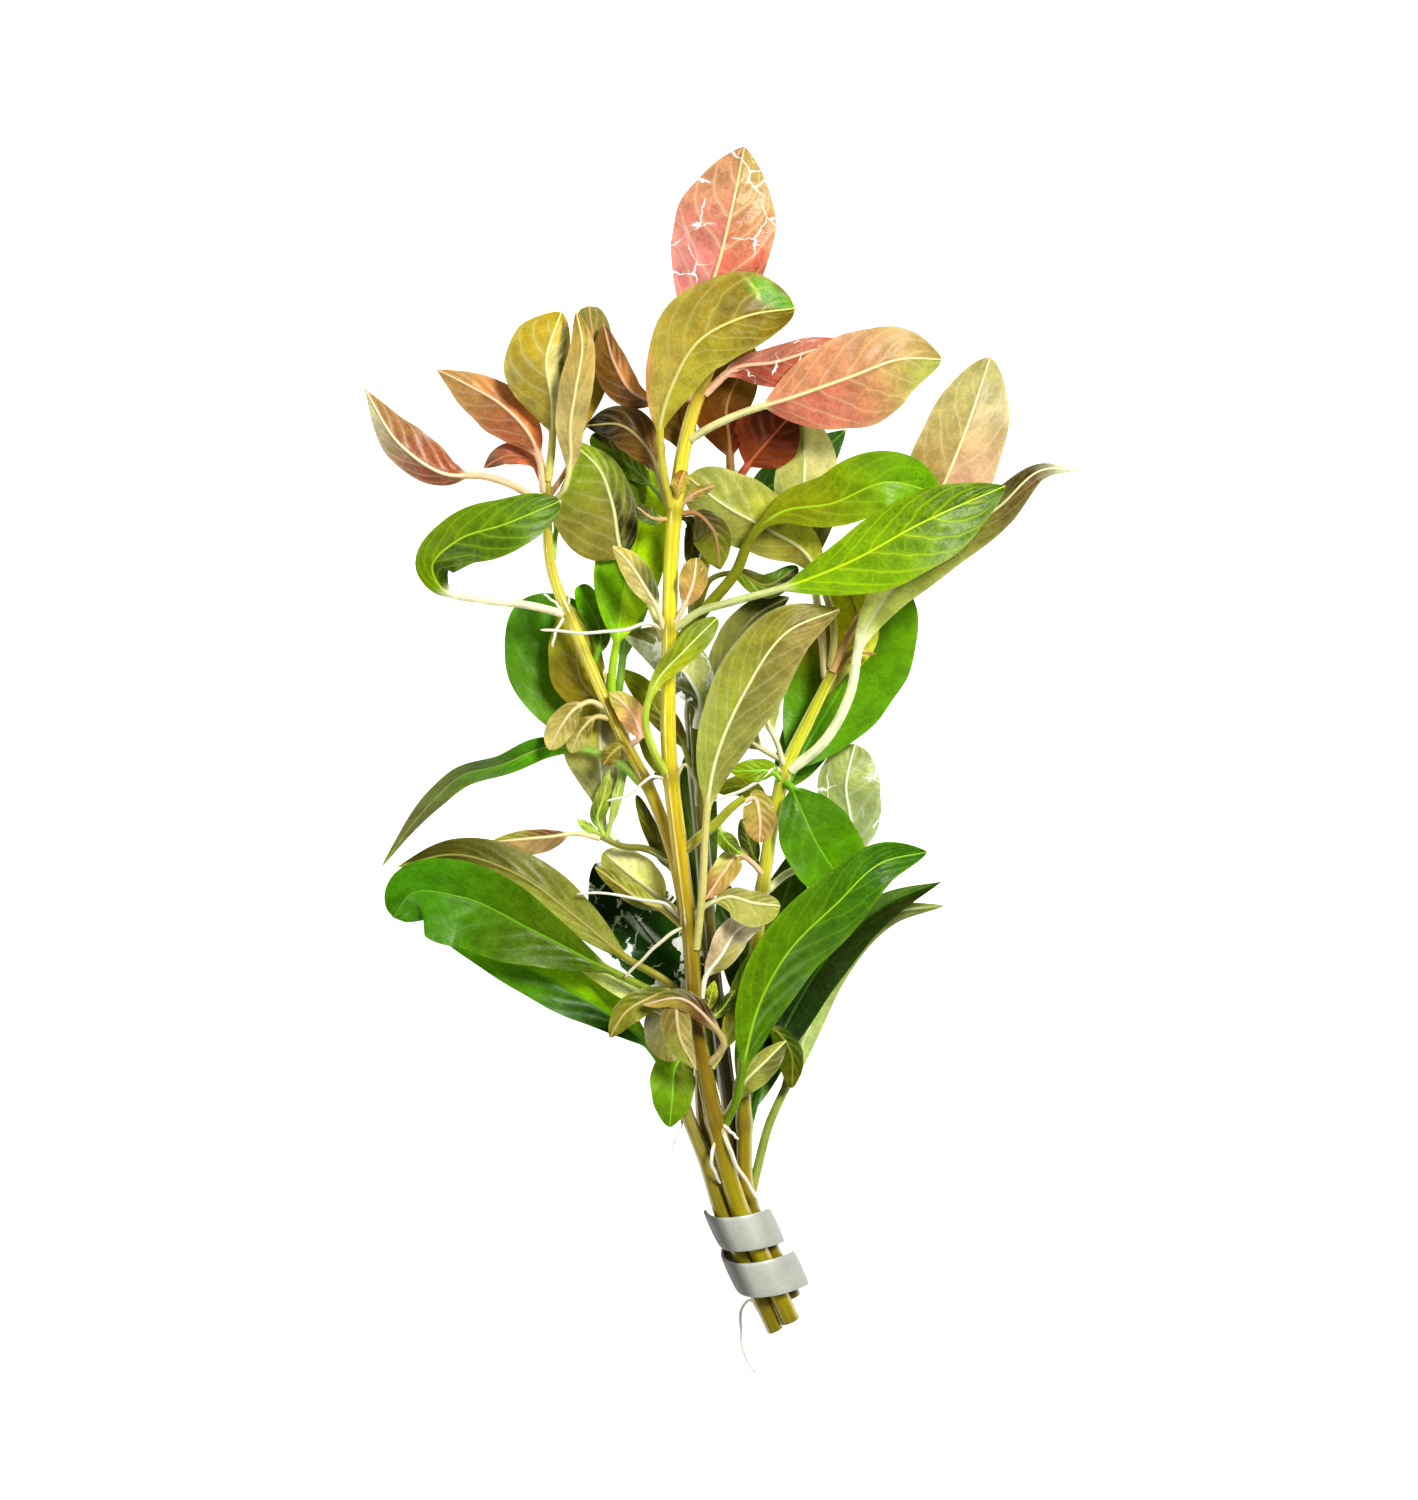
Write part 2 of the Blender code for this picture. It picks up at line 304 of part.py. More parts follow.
    "leaf_tan_hanging": dict(stem="stem_main", at=-38.5, side="under", half=(2.3, 2.8),
        petiole=0.12, widest=0.4, base=0.7, stalk=0.5, rings=5, grown_on=True,
        path=((-7.5, -40, 23.5), (-7.5, -45, 23.5), (-4.5, -51.5, 21))),
    "leaf_olive_brown_small": dict(stem="stem_main", at=-40, side="under", half=(2.5, 2.2),
        petiole=0.2, widest=0.5, base=0.8, stalk=0.5, rings=5, grown_on=True,
        path=((-8, -38.5, 22), (-12.5, -39.5, 22.5), (-16, -41.5, 23), (-19, -46, 22))),
    "leaf_pale_hanging": dict(stem="stem_left", at=-43, side="under", half=(2, 4), petiole=0.2,
        widest=0.5, base=0.7, rings=6, tone="#C0B878",
        path=((-7, -42.5, 16), (-9, -42.5, 17), (-9, -46.5, 17.5), (-8, -50, 18))),
    "leaf_green_low_left": dict(stem="stem_main", at=-46.5, side="upper", half=(3.7, 3.8),
        petiole=0.1, widest=0.45, base=0.6, fold=0.08, rings=6, tone="#4C9C0C",
        path=((-6.5, -48.5, 16.5), (-8, -51, 16), (-8.5, -56, 16), (-9, -61, 14.5))),
    "leaf_khaki_low_right": dict(stem="stem_main", at=-60, side="under", half=(2, 2.7), petiole=0.2,
        widest=0.5, base=0.8, stalk=0.5, rings=6, grown_on=True,
        path=((1.5, -57, 15), (3.5, -53.5, 16.5), (7, -50, 16.5), (10.5, -46.5, 16))),
    "leaf_olive_low_right": dict(stem="stem_right", at=-44, side="under", half=(2, 2.3),
        petiole=0.2, widest=0.5, base=0.7, stalk=0.45, rings=5, grown_on=True,
        path=((8, -44.5, 12), (11, -48, 11), (11.5, -54.5, 10))),
    "leaf_olive_low_centre": dict(stem="stem_main", at=-51.5, side="under", half=(2.2, 2.2),
        petiole=0.15, widest=0.5, base=0.8, rings=6, tone="#8C9420",
        path=((0, -47.5, 16.5), (2, -43, 17), (3.5, -37, 17.5), (5, -31.5, 17.5))),
    "leaf_small_green_low_a": dict(stem="stem_main", at=-42.5, side="upper", half=(1.1, 1.1),
        petiole=0.15, widest=0.5, base=0.8, stalk=0.4, rings=4, grown_on=True,
        path=((-2.5, -40.5, 19.5), (-1.5, -36.5, 19.5))),
    "leaf_small_green_low_b": dict(stem="stem_main", at=-43.5, side="upper", half=(1.1, 1.1),
        petiole=0.15, widest=0.5, base=0.8, stalk=0.4, rings=4, grown_on=True,
        path=((-1, -42, 18.5), (2, -38, 19.5))),
    "leaf_back_right_upper": dict(stem="stem_back", at=42.5, side="upper", half=(4, 4), petiole=0.2,
        widest=0.5, base=0.9, fold=0.08, rings=6, tone="#4C8410",
        path=((3.5, 44, 12.5), (9.5, 47, 6.5), (15.5, 51, 2), (20.5, 55.5, 0.1))),
    "leaf_back_left_upper": dict(stem="stem_left", at=7.5, side="upper", half=(4.7, 4.7),
        petiole=0.2, widest=0.6, base=0.9, fold=0.08, rings=6, tone="#4C8410",
        path=((-17, 15.5, 15.5), (-16, 26, 6.5), (-15.5, 40, 1.5), (-16, 54.5, 0.1))),
    "leaf_back_low_left": dict(stem="stem_back", at=-57, side="upper", half=(5, 5), petiole=0.1,
        widest=0.5, base=0.8, fold=0.08, rings=6, tone="#2C5408",
        path=((-1, -52, 5.5), (-4, -42, 5), (-8, -32, 3), (-12, -22.5, 0.1))),
    "leaf_back_low_right": dict(stem="stem_right", at=-63, side="upper", half=(5, 5.5),
        petiole=0.12, widest=0.5, base=0.9, fold=0.08, rings=6, tone="#2C5408",
        path=((4.5, -57, 6), (6.5, -47, 4.5), (10, -36, 2.5), (15, -26.5, 0.1))),
    "leaf_back_right": dict(stem="stem_right", at=-6.5, side="upper", half=(4.7, 4.7), petiole=0.12,
        widest=0.5, base=0.9, fold=0.08, rings=6, tone="#4C8410",
        path=((11, -2, 5.5), (15, 5.5, 4.5), (19, 13, 2), (23, 20.5, 0.1))),
    "leaf_back_centre": dict(stem="stem_back", at=-34, side="upper", half=(3.7, 3.7), petiole=0.12,
        widest=0.5, base=0.8, fold=0.05, rings=6, tone="#2C4C08",
        path=((-3.5, -28, 7.5), (-4.5, -17, 6), (-4.5, -5, 5.5), (-3, 8, 6))),
    "leaf_dark_back_right": dict(stem="stem_right", at=-33, side="upper", half=(3.3, 3.3),
        petiole=0.15, widest=0.5, base=0.8, stalk=0.5, rings=5, grown_on=True,
        path=((8, -28.5, 8.5), (10.5, -22, 5.5), (13, -14, 4.5))),
    "leaf_back_top": dict(stem="stem_back", at=46, side="upper", half=(4, 4), petiole=0.2,
        widest=0.5, base=0.9, fold=0.08, rings=6, tone="#7C8428",
        path=((1, 52, 14.5), (-1, 61, 8.5), (-2, 72, 3), (-2.5, 80, 0.1))),
    "leaf_tan_small_a": dict(stem="stem_left", at=9.5, side="under", half=(2.3, 2.3), petiole=0.28,
        widest=0.55, base=0.7, fold=0.06, stalk=0.5, rings=6, grown_on=True,
        path=((-22, 10, 22), (-24.5, 9, 23), (-27, 6, 24), (-29, 2, 23.5))),
    "leaf_tan_small_b": dict(stem="stem_left", at=7.5, side="under", half=(1.8, 1.8), petiole=0.25,
        widest=0.55, base=0.7, fold=0.06, stalk=0.5, rings=5, grown_on=True,
        path=((-21, 7.5, 21.5), (-23.5, 5.5, 22.5), (-25.5, 1.5, 22.5))),
    "leaf_pink_small_left": dict(stem="stem_left", at=2.5, side="under", half=(2.2, 2.2),
        petiole=0.15, widest=0.5, base=0.7, fold=0.06, stalk=0.5, rings=5, grown_on=True,
        path=((-14, 4, 22.5), (-14.5, 6.5, 23.5), (-16.5, 9.5, 23.5), (-19, 11.5, 23.5))),
    "leaf_olive_bud_left": dict(stem="stem_left", at=1.5, side="under", half=(1.5, 1.5),
        petiole=0.25, widest=0.5, base=0.7, fold=0.06, stalk=0.4, rings=5, grown_on=True,
        path=((-17, 2.5, 22.5), (-18.5, 1.5, 23), (-20, -0.5, 22.5))),
    "leaf_dark_beside_stem": dict(stem="stem_left", at=-19, side="upper", half=(1.3, 1.3),
        petiole=0.1, widest=0.5, base=0.6, stalk=0.45, rings=4, grown_on=True,
        path=((-10, -16, 16), (-12.5, -10.5, 15.5), (-14.5, -5.5, 15.5))),
    "leaf_dark_between_stems": dict(stem="stem_left", at=-3.5, side="upper", half=(1.2, 1.2),
        petiole=0.1, widest=0.5, base=0.6, stalk=0.4, rings=4, grown_on=True,
        path=((-10.5, -1.5, 17.5), (-12, 1, 17), (-14, 4.5, 17))),
    "leaf_olive_between_stems": dict(stem="stem_back", at=-0.5, side="upper", half=(2.3, 2.3),
        petiole=0.15, widest=0.5, base=0.8, stalk=0.5, rings=6, grown_on=True,
        path=((-7, 3.5, 14.5), (-10.5, 8, 15), (-13.5, 12, 15), (-17, 15.5, 13.5))),
    "leaf_grey_behind_petiole": dict(stem="stem_back", at=9.5, side="under", half=(3, 3),
        petiole=0.15, widest=0.5, base=0.8, rings=6, tone="#787048",
        path=((-2.5, 13, 14), (1, 19, 14.5), (5.5, 24.5, 15), (11, 27.5, 14.5))),
    "leaf_small_pink_low": dict(stem="shoot_low_left", at=1, side="under", half=(2.8, 1.5),
        petiole=0.28, widest=0.5, base=0.8, fold=0.06, stalk=0.45, rings=6, grown_on=True,
        path=((-24, -12, 18.5), (-29, -12.5, 19), (-34.5, -13, 19.5), (-39, -13.5, 19))),
    "leaf_small_green_a": dict(stem="shoot_low_left", at=0.97, side="upper", half=(1.5, 1.5),
        petiole=0.1, widest=0.4, base=0.8, stalk=0.45, rings=5, grown_on=True,
        path=((-21, -9.5, 18.5), (-20, -6, 18.5), (-19, -1, 19.5))),
    "leaf_small_green_b": dict(stem="shoot_low_left", at=0.93, side="under", half=(0.8, 1),
        petiole=0.1, widest=0.5, base=0.9, stalk=0.4, rings=5, grown_on=True,
        path=((-18.5, -9, 19), (-17.5, -4.5, 19), (-16, 0.5, 18))),
    "leaf_small_green_c": dict(stem="shoot_low_left", at=1, side="upper", half=(0.8, 0.8),
        petiole=0.1, widest=0.5, base=0.9, stalk=0.4, rings=5, grown_on=True,
        path=((-22.5, -11, 18), (-24.5, -9.5, 18))),
    "leaf_tan_bud_right": dict(stem="shoot_low_right", at=0.98, side="under", half=(2.8, 2.8),
        petiole=0.1, widest=0.5, base=0.6, stalk=0.45, rings=5, grown_on=True,
        path=((5, -6, 22.5), (6, -9, 23), (6, -13.5, 22.5))),
    "leaf_small_green_right": dict(stem="shoot_low_right", at=0.5, side="upper", half=(1.5, 1.5),
        petiole=0.1, widest=0.45, base=0.8, stalk=0.45, rings=5, grown_on=True,
        path=((0, -12.5, 22), (3, -15.5, 21))),
}

# Roots: stem, height on it, radius, path
ROOTS = (
    ("stem_main", 21.5, 0.36, ((-12, 23, 27), (-16.5, 22, 27.5), (-22, 21.5, 28), (-30.5, 22, 27.5))),
    ("stem_left", 24.5, 0.3, ((-28, 21.5, 22), (-28.5, 19, 22))),
    ("stem_left", 25, 0.28, ((-28, 26.5, 22), (-30, 28, 22))),
    ("stem_left", 26, 0.26, ((-25.5, 28, 22), (-25, 29.5, 22))),
    ("stem_main", -2.5, 0.3, ((-12, -2.5, 26), (-14.5, -4.5, 26), (-17, -6, 25.5), (-19.5, -6.5, 25))),
    ("stem_main", -2.5, 0.3, ((-6.5, -0.5, 25.5), (-5, -2.5, 25), (-4.5, -7.5, 24.5))),
    ("stem_right", -2, 0.36, ((8.5, -1, 18), (5.5, -3.5, 19), (2.5, -5, 19), (-1.5, -6.5, 19))),
    ("stem_left", -26, 0.3, ((-10, -23.5, 21), (-14, -23, 21.5), (-18.5, -22, 21.5), (-24.5, -22, 21))),
    ("stem_main", -27.5, 0.36, ((-8.5, -28.5, 23), (-12, -31.5, 23), (-16.5, -36, 22))),
    ("stem_main", -61, 0.42, ((1, -64.5, 16), (2.5, -68, 14), (4.5, -71, 12.5), (5.5, -73, 11.5))),
    ("stem_main", -60.5, 0.34, ((1, -61.5, 16.5), (2.5, -63, 16))),
    ("stem_main", -63, 0.34, ((-2, -66, 16), (-0.5, -70.5, 12.5))),
    ("stem_right", 15.5, 0.4, ((20, 17.5, 16), (21.5, 17.5, 16.5))),
    ("stem_lower_left", -91, 0.3, ((4.5, -90, 3), (3, -91.5, 1.5), (3, -95, 0.7), (3, -97.5, 0.5),
        (4, -100, 0.4), (5.5, -102.5, 0.4))),
    ("stem_lower_left", -58.5, 0.22, ((-7, -60.5, 13), (-8, -63, 12.5), (-8.5, -65, 12))),
)


def along(points, share):
    """Smooth path through points: cubic pieces whose slopes are the central differences."""
    p = np.asarray(points, float)
    length = np.concatenate([[0.0], np.cumsum(np.linalg.norm(np.diff(p, axis=0), axis=1))])
    knot = length / length[-1]
    if len(p) > 2:
        slope = np.gradient(p, knot, axis=0)
    else:
        slope = np.repeat([p[1] - p[0]], 2, axis=0)
    share = np.asarray(share, float)
    i = np.clip(np.searchsorted(knot, share, side="right") - 1, 0, len(p) - 2)
    span = (knot[i + 1] - knot[i])[:, None]
    t = (share - knot[i])[:, None] / span
    start = (2 * t**3 - 3 * t**2 + 1) * p[i] + (t**3 - 2 * t**2 + t) * span * slope[i]
    end = (3 * t**2 - 2 * t**3) * p[i + 1] + (t**3 - t**2) * span * slope[i + 1]
    return start + end


def path_length(points):
    return float(np.linalg.norm(np.diff(np.asarray(points, float), axis=0), axis=1).sum())


def frames(points, share, roll=(0.0,)):
    """Along, right and up directions on a path, turned about it by roll degrees."""
    centre = along(points, share)
    step = 0.001
    ahead = along(points, np.clip(share + step, 0, 1))
    behind = along(points, np.clip(share - step, 0, 1))
    forward = unit(ahead - behind)
    right = unit(np.cross(forward, (0.0, 0.0, 1.0)))
    up = np.cross(right, forward)
    turn = np.radians(np.interp(share, np.linspace(0, 1, len(roll)), roll))[:, None]
    return centre, right * np.cos(turn) + up * np.sin(turn), up * np.cos(turn) - right * np.sin(turn)


def unit(vectors):
    v = np.asarray(vectors, float)
    return v / np.linalg.norm(v, axis=-1, keepdims=True)


def strip_axes():
    axis = unit(STRIP_AXIS)
    across = unit(np.cross(axis, (0.0, 0.0, 1.0)))
    return np.array(STRIP_CENTRE, float), axis, across, np.cross(across, axis)


def stem_points(name):
    """A tied stem runs straight through its slot in the strip, then follows its free path."""
    stem = STEMS[name]
    if "host" in stem:
        start = off_the_skin(stem["host"], stem["at"], stem["path"][0], GAP, stem["radius"][0])
        return np.vstack([start, stem["path"]])
    middle, axis, across, up = strip_axes()
    slot = middle + across * stem["slot"][0] + up * stem["slot"][1]
    straight = [slot + axis * reach for reach in (-stem["below"], 0.0, 11.0)]
    return np.vstack([straight, stem["path"]])


def stem_profile(name, count):
    """Even samples of a stem's path, with the radius and the along direction at each."""
    points = stem_points(name)
    share = np.linspace(0, 1, count)
    length = np.concatenate([[0.0], np.cumsum(np.linalg.norm(np.diff(points, axis=0), axis=1))])
    centre = along(points, share)
    radius = np.interp(share, length / length[-1], STEMS[name]["radius"])
    return centre, radius, unit(np.gradient(centre, axis=0))


def place_on(name, at):
    """Centre, radius and along direction where something grows on a stem."""
    centre, radius, forward = stem_profile(name, 401)
    i = int(round(at * 400)) if name.startswith("shoot") else int(np.argmin(abs(centre[:, 1] - at)))
    return centre[i], radius[i], forward[i]


def off_the_skin(host, at, target, gap, thick):
    """Start of a branch of radius thick that heads for target: gap away from its host's skin, or
    inside the host where gap is below nought."""
    centre, radius, forward = place_on(host, at)
    heading = np.array(target, float) - centre
    outward = unit(heading - forward * np.dot(heading, forward))
    if gap < 0:
        return centre + outward * 0.35 * radius
    slant = abs(np.dot(unit(heading), forward))
    return centre + outward * (radius + gap + thick * slant)


def leaf_points(leaf):
    """The midrib: it starts just off the stem's skin, or inside it where the leaf is grown on."""
    gap = -1.0 if leaf.get("grown_on") else GAP
    start = off_the_skin(leaf["stem"], leaf["at"], leaf["path"][0], gap, leaf.get("stalk", STALK_RADIUS))
    return np.vstack([start, leaf["path"]])


def ring_shares(leaf):
    """Where the cross-sections lie: a few along the stalk, the rest closer towards the tip."""
    rings = leaf.get("rings", LEAF_RINGS)
    on_stalk = max(1, int(round(rings * leaf["petiole"] * 0.9)))
    stalk = np.linspace(0, leaf["petiole"], on_stalk + 1)[:-1]
    blade = np.linspace(0.0, 1.0, rings - on_stalk)
    blade = 0.04 + 0.96 * (0.55 * blade + 0.45 * np.sin(blade * np.pi / 2))
    return np.concatenate([stalk, leaf["petiole"] + (1 - leaf["petiole"]) * blade])


def leaf_mesh(name):
    """Loft from the round stalk to the thin blade: each ring has eight corners (four on a small
    leaf), two of them the margins, and the midrib stands out on the lower face."""
    leaf = LEAVES[name]
    sides = SMALL_RING_SIDES if leaf.get("grown_on") else RING_SIDES
    share = ring_shares(leaf)
    centre, right, up = frames(leaf_points(leaf), share, leaf.get("roll", (0.0,)))
    on_blade = np.clip((share - leaf["petiole"]) / (1 - leaf["petiole"]), 0, 1)
    widest, base = leaf["widest"], leaf["base"]
    tip = base * (1 - widest) / widest
    outline = (on_blade / widest)**base * ((1 - on_blade) / (1 - widest))**tip
    stalk = leaf.get("stalk", STALK_RADIUS) * np.clip(1 - share, 0.02, 1)**0.3
    lower = 1.0 if leaf["side"] == "under" else -1.0
    bend = -lower
    rings = []
    for corner in range(sides):
        angle = np.pi - corner * 2 * np.pi / sides
        across = np.cos(angle)
        spread = np.sign(round(across, 3)) * (1.0 if abs(across) > 0.9 else 0.5)
        half = leaf["half"][0 if across < 0 else 1] * outline
        width = np.maximum(half, TIP_HALF)
        flat = np.clip((width - stalk) / (2 * stalk), 0, 1)
        lift = width * (leaf.get("fold", 0.0) * abs(spread) + leaf.get("cup", 0.0) * spread**2) * bend
        skin = BLADE_THICK / 2 * np.sign(round(np.sin(angle), 3))
        rib = 0.55 * stalk * (1 - 0.7 * on_blade) * (abs(across) < 0.1) * (np.sin(angle) * lower > 0)
        blade_up = lift + skin * (1 - 0.4 * on_blade) + rib * lower
        side = (1 - flat) * stalk * across + flat * width * spread
        above = (1 - flat) * stalk * np.sin(angle) * np.clip(1.2 - on_blade, 0.3, 1) + flat * blade_up
        rings.append(centre + right * side[:, None] + up * above[:, None])
    return closed_loft(name, np.array(rings))


def closed_loft(name, rings):
    """Skin over rings[corner, station]: a grid rolled into a tube, its seam welded, its ends capped."""
    corners, stations = rings.shape[:2]
    shape = bmesh.new()
    bmesh.ops.create_grid(shape, x_segments=corners, y_segments=stations - 1, size=0.5)
    for vert in shape.verts:
        corner = int(round((vert.co.x + 0.5) * corners)) % corners
        station = int(round((vert.co.y + 0.5) * (stations - 1)))
        vert.co = rings[corner, station]
    bmesh.ops.remove_doubles(shape, verts=shape.verts, dist=0.0001)
    bmesh.ops.holes_fill(shape, edges=[edge for edge in shape.edges if edge.is_boundary], sides=0)
    bmesh.ops.recalc_face_normals(shape, faces=shape.faces)
    return finish_mesh(name, shape, rings[:, 0].mean(axis=0))


def finish_mesh(name, shape, origin):
    """Mesh in metres whose own origin is the given point; the object is put back there."""
    bmesh.ops.translate(shape, vec=-np.asarray(origin, float), verts=shape.verts)
    bmesh.ops.scale(shape, vec=(MM, MM, MM), verts=shape.verts)
    mesh = bpy.data.meshes.new(name)
    shape.to_mesh(mesh)
    shape.free()
    mesh.shade_smooth()
    mesh.set_sharp_from_angle(angle=0.9)
    return mesh, np.asarray(origin, float) * MM


def tube_mesh(name, points, radius):
    """A round rod that narrows along its path: a bevelled curve with filled ends, made a mesh."""
    curve = bpy.data.curves.new(name, "CURVE")
    curve.dimensions = "3D"
    curve.bevel_depth = 1.0
    curve.bevel_resolution = 2 if max(radius) > 0.5 else 0
    curve.use_fill_caps = True
    spline = curve.splines.new("POLY")
    spline.points.add(len(points) - 1)
    for spot, place, size in zip(spline.points, points, radius):
        spot.co = (*place, 1.0)
        spot.radius = size
    rod = bpy.data.objects.new(name + "_curve", curve)
    bpy.context.scene.collection.objects.link(rod)
    bpy.context.view_layer.update()
    mesh = bpy.data.meshes.new_from_object(rod.evaluated_get(bpy.context.evaluated_depsgraph_get()))
    bpy.data.objects.remove(rod)
    shape = bmesh.new()
    shape.from_mesh(mesh)
    bpy.data.meshes.remove(mesh)
    bmesh.ops.remove_doubles(shape, verts=shape.verts, dist=0.001)
    bmesh.ops.recalc_face_normals(shape, faces=shape.faces)
    return finish_mesh(name, shape, points[0])


def strip_mesh(name):
    """A flat sheet wound in a helix round the stems; its last few degrees stand off as a tab."""
    middle, axis, across, up = strip_axes()
    turns = STRIP_TURNS + STRIP_TAB_TURN
    steps = int(round(turns * STRIP_STEPS_PER_TURN))
    sheet = bmesh.new()
    bmesh.ops.create_grid(sheet, x_segments=steps, y_segments=1, size=0.5)
    for vert in sheet.verts:
        turn = (vert.co.x + 0.5) * turns
        angle = np.pi - 2 * np.pi * turn
        tab = max(0.0, (turn - STRIP_TURNS + 0.1) / (STRIP_TAB_TURN + 0.1))
        reach = STRIP_INNER + STRIP_THICK / 2 + STRIP_GROWTH_PER_TURN * turn + STRIP_TAB_FLARE * tab**2
        height = STRIP_START_HEIGHT - STRIP_DROP_PER_TURN * turn + vert.co.y * STRIP_WIDTH
        place = middle + axis * height + reach * (across * np.cos(angle) + up * np.sin(angle))
        vert.co = place
    return finish_mesh(name, sheet, middle)


def surface(name, tone, roughness, metallic=0.0):
    material = bpy.data.materials.new(name + "_surface")
    material.use_nodes = True
    shader = material.node_tree.nodes["Principled BSDF"]
    shader.inputs["Base Color"].default_value = (*linear(tone), 1.0)
    shader.inputs["Roughness"].default_value = roughness
    shader.inputs["Metallic"].default_value = metallic
    return material


def linear(tone):
    """Linear red, green and blue of a hex colour."""
    levels = [int(tone[i:i + 2], 16) / 255 for i in (1, 3, 5)]
    return [v / 12.92 if v <= 0.04045 else ((v + 0.055) / 1.055)**2.4 for v in levels]


def add_object(name, made, collection):
    """Object for a mesh and the place of its origin."""
    mesh, place = made
    added = bpy.data.objects.new(name, mesh)
    added.location = place
    collection.objects.link(added)
    return added


def fuse(body, pieces):
    """Grow the small pieces out of the body: one live union each."""
    for piece in pieces:
        union = body.modifiers.new("grow_" + piece.name, "BOOLEAN")
        union.operation = "UNION"
        union.solver = "EXACT"
        union.object = piece


def grown_piece(name, made, growths):
    piece = add_object(name, made, growths)
    piece.hide_render = True
    piece.display_type = "WIRE"
    return piece


def add_stem(name, bunch, growths):
    points = stem_points(name)
    count = max(5, int(path_length(points) / STEM_STEP))
    centre, radius, _ = stem_profile(name, count)
    stem = add_object(name, tube_mesh(name, centre, radius), bunch)
    stem.data.materials.append(surface(name, STEM_TONES[name], 0.35))
    pieces = []
    for leaf_name, leaf in LEAVES.items():
        if leaf["stem"] == name and leaf.get("grown_on"):
            pieces.append(grown_piece(leaf_name, leaf_mesh(leaf_name), growths))
    for number, (host, at, size, path) in enumerate(ROOTS):
        if host == name:
            route = np.vstack([off_the_skin(host, at, path[0], -1.0, size), path])
            spots = along(route, np.linspace(0, 1, max(3, int(path_length(route) / ROOT_STEP))))
            taper = np.linspace(size, size * 0.8, len(spots))
            root_name = f"root_{number + 1}"
            pieces.append(grown_piece(root_name, tube_mesh(root_name, spots, taper), growths))
    fuse(stem, pieces)


def main():
    for old in list(bpy.data.objects):
        bpy.data.objects.remove(old)
    bunch = bpy.data.collections.new("ludwigia_repens")
    growths = bpy.data.collections.new("growths")
    bpy.context.scene.collection.children.link(bunch)
    bpy.context.scene.collection.children.link(growths)
    for name in STEMS:
        add_stem(name, bunch, growths)
    for name, leaf in LEAVES.items():
        if not leaf.get("grown_on"):
            blade = add_object(name, leaf_mesh(name), bunch)
            blade.data.materials.append(surface(name, leaf["tone"], 0.35))
    strip = add_object("lead_strip", strip_mesh("lead_strip"), bunch)
    strip.data.materials.append(surface("lead_strip", STRIP_TONE, 0.5, 0.6))
    wall = strip.modifiers.new("wall", "SOLIDIFY")
    wall.thickness = STRIP_THICK * MM
    wall.offset = 0.0


main()
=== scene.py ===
"""Looks of a lying bunch of cut Ludwigia repens stems, tied by a wound strip of soft grey metal.

It is written as the bunch is put together: stems, side shoots and rootlets, then the leaves from
the top of the bunch to its foot, the strip, and last the table it lies on, the light and the camera.
Lengths are millimetres, in the photo's view from above: x to the right, y up, z towards the camera.
"""

import bpy
import numpy as np
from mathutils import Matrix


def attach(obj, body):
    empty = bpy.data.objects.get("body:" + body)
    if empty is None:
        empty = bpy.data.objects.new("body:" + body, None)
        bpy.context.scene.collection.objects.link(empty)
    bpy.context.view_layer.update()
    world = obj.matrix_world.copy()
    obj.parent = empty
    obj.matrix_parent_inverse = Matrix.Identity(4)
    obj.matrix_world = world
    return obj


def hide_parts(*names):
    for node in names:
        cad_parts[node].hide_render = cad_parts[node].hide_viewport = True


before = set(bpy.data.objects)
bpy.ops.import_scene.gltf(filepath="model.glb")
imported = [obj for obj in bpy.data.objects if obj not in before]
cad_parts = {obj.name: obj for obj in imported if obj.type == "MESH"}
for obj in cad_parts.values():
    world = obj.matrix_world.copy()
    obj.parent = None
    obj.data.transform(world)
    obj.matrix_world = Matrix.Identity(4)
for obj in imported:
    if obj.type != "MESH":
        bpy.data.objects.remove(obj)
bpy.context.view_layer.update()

# Stems
# A grown water-plant stem: a juicy round rod 2 to 3 mm thick, yellow-olive and a little ribbed
# lengthwise, thicker at the joints the leaves grow from, cut flat at the foot with scissors.
STEM_LINES = {}


def unit(vectors):
    """Vectors brought to length one: v / |v|."""
    v = np.asarray(vectors, float)
    return v / np.linalg.norm(v, axis=-1, keepdims=True)


def run(line):
    """How far along a line each of its points lies: the sum of the steps up to it."""
    return np.concatenate([[0.0], np.cumsum(np.linalg.norm(np.diff(line, axis=0), axis=1))])


def along(points, share):
    """Smooth path through points: p(t) = h00 p0 + h10 m0 + h01 p1 + h11 m1 with the slopes m taken
    as central differences over the chord length."""
    p = np.asarray(points, float)
    knot = run(p) / run(p)[-1]
    slope = np.gradient(p, knot, axis=0)
    i = np.clip(np.searchsorted(knot, share, side="right") - 1, 0, len(p) - 2)
    span = (knot[i + 1] - knot[i])[:, None]
    t = (share - knot[i])[:, None] / span
    start = (2 * t**3 - 3 * t**2 + 1) * p[i] + (t**3 - 2 * t**2 + t) * span * slope[i]
    return start + (3 * t**2 - 2 * t**3) * p[i + 1] + (t**3 - t**2) * span * slope[i + 1]


def directions(centre):
    """Right and up at each point of a line: right = forward x Z, up = right x forward."""
    forward = unit(np.gradient(centre, axis=0))
    right = unit(np.cross(forward, (0.0, 0.0, 1.0)))
    return right, np.cross(right, forward)


def rings(centre, right, up, reach):
    """Rings of points round a line: centre + reach (right cos a + up sin a). reach has a row for each
    ring and a column for each corner."""
    turn = np.linspace(0, 2 * np.pi, reach.shape[1], endpoint=False)[:, None]
    spokes = right[:, None] * np.cos(turn) + up[:, None] * np.sin(turn)
    return centre[:, None] + reach[..., None] * spokes


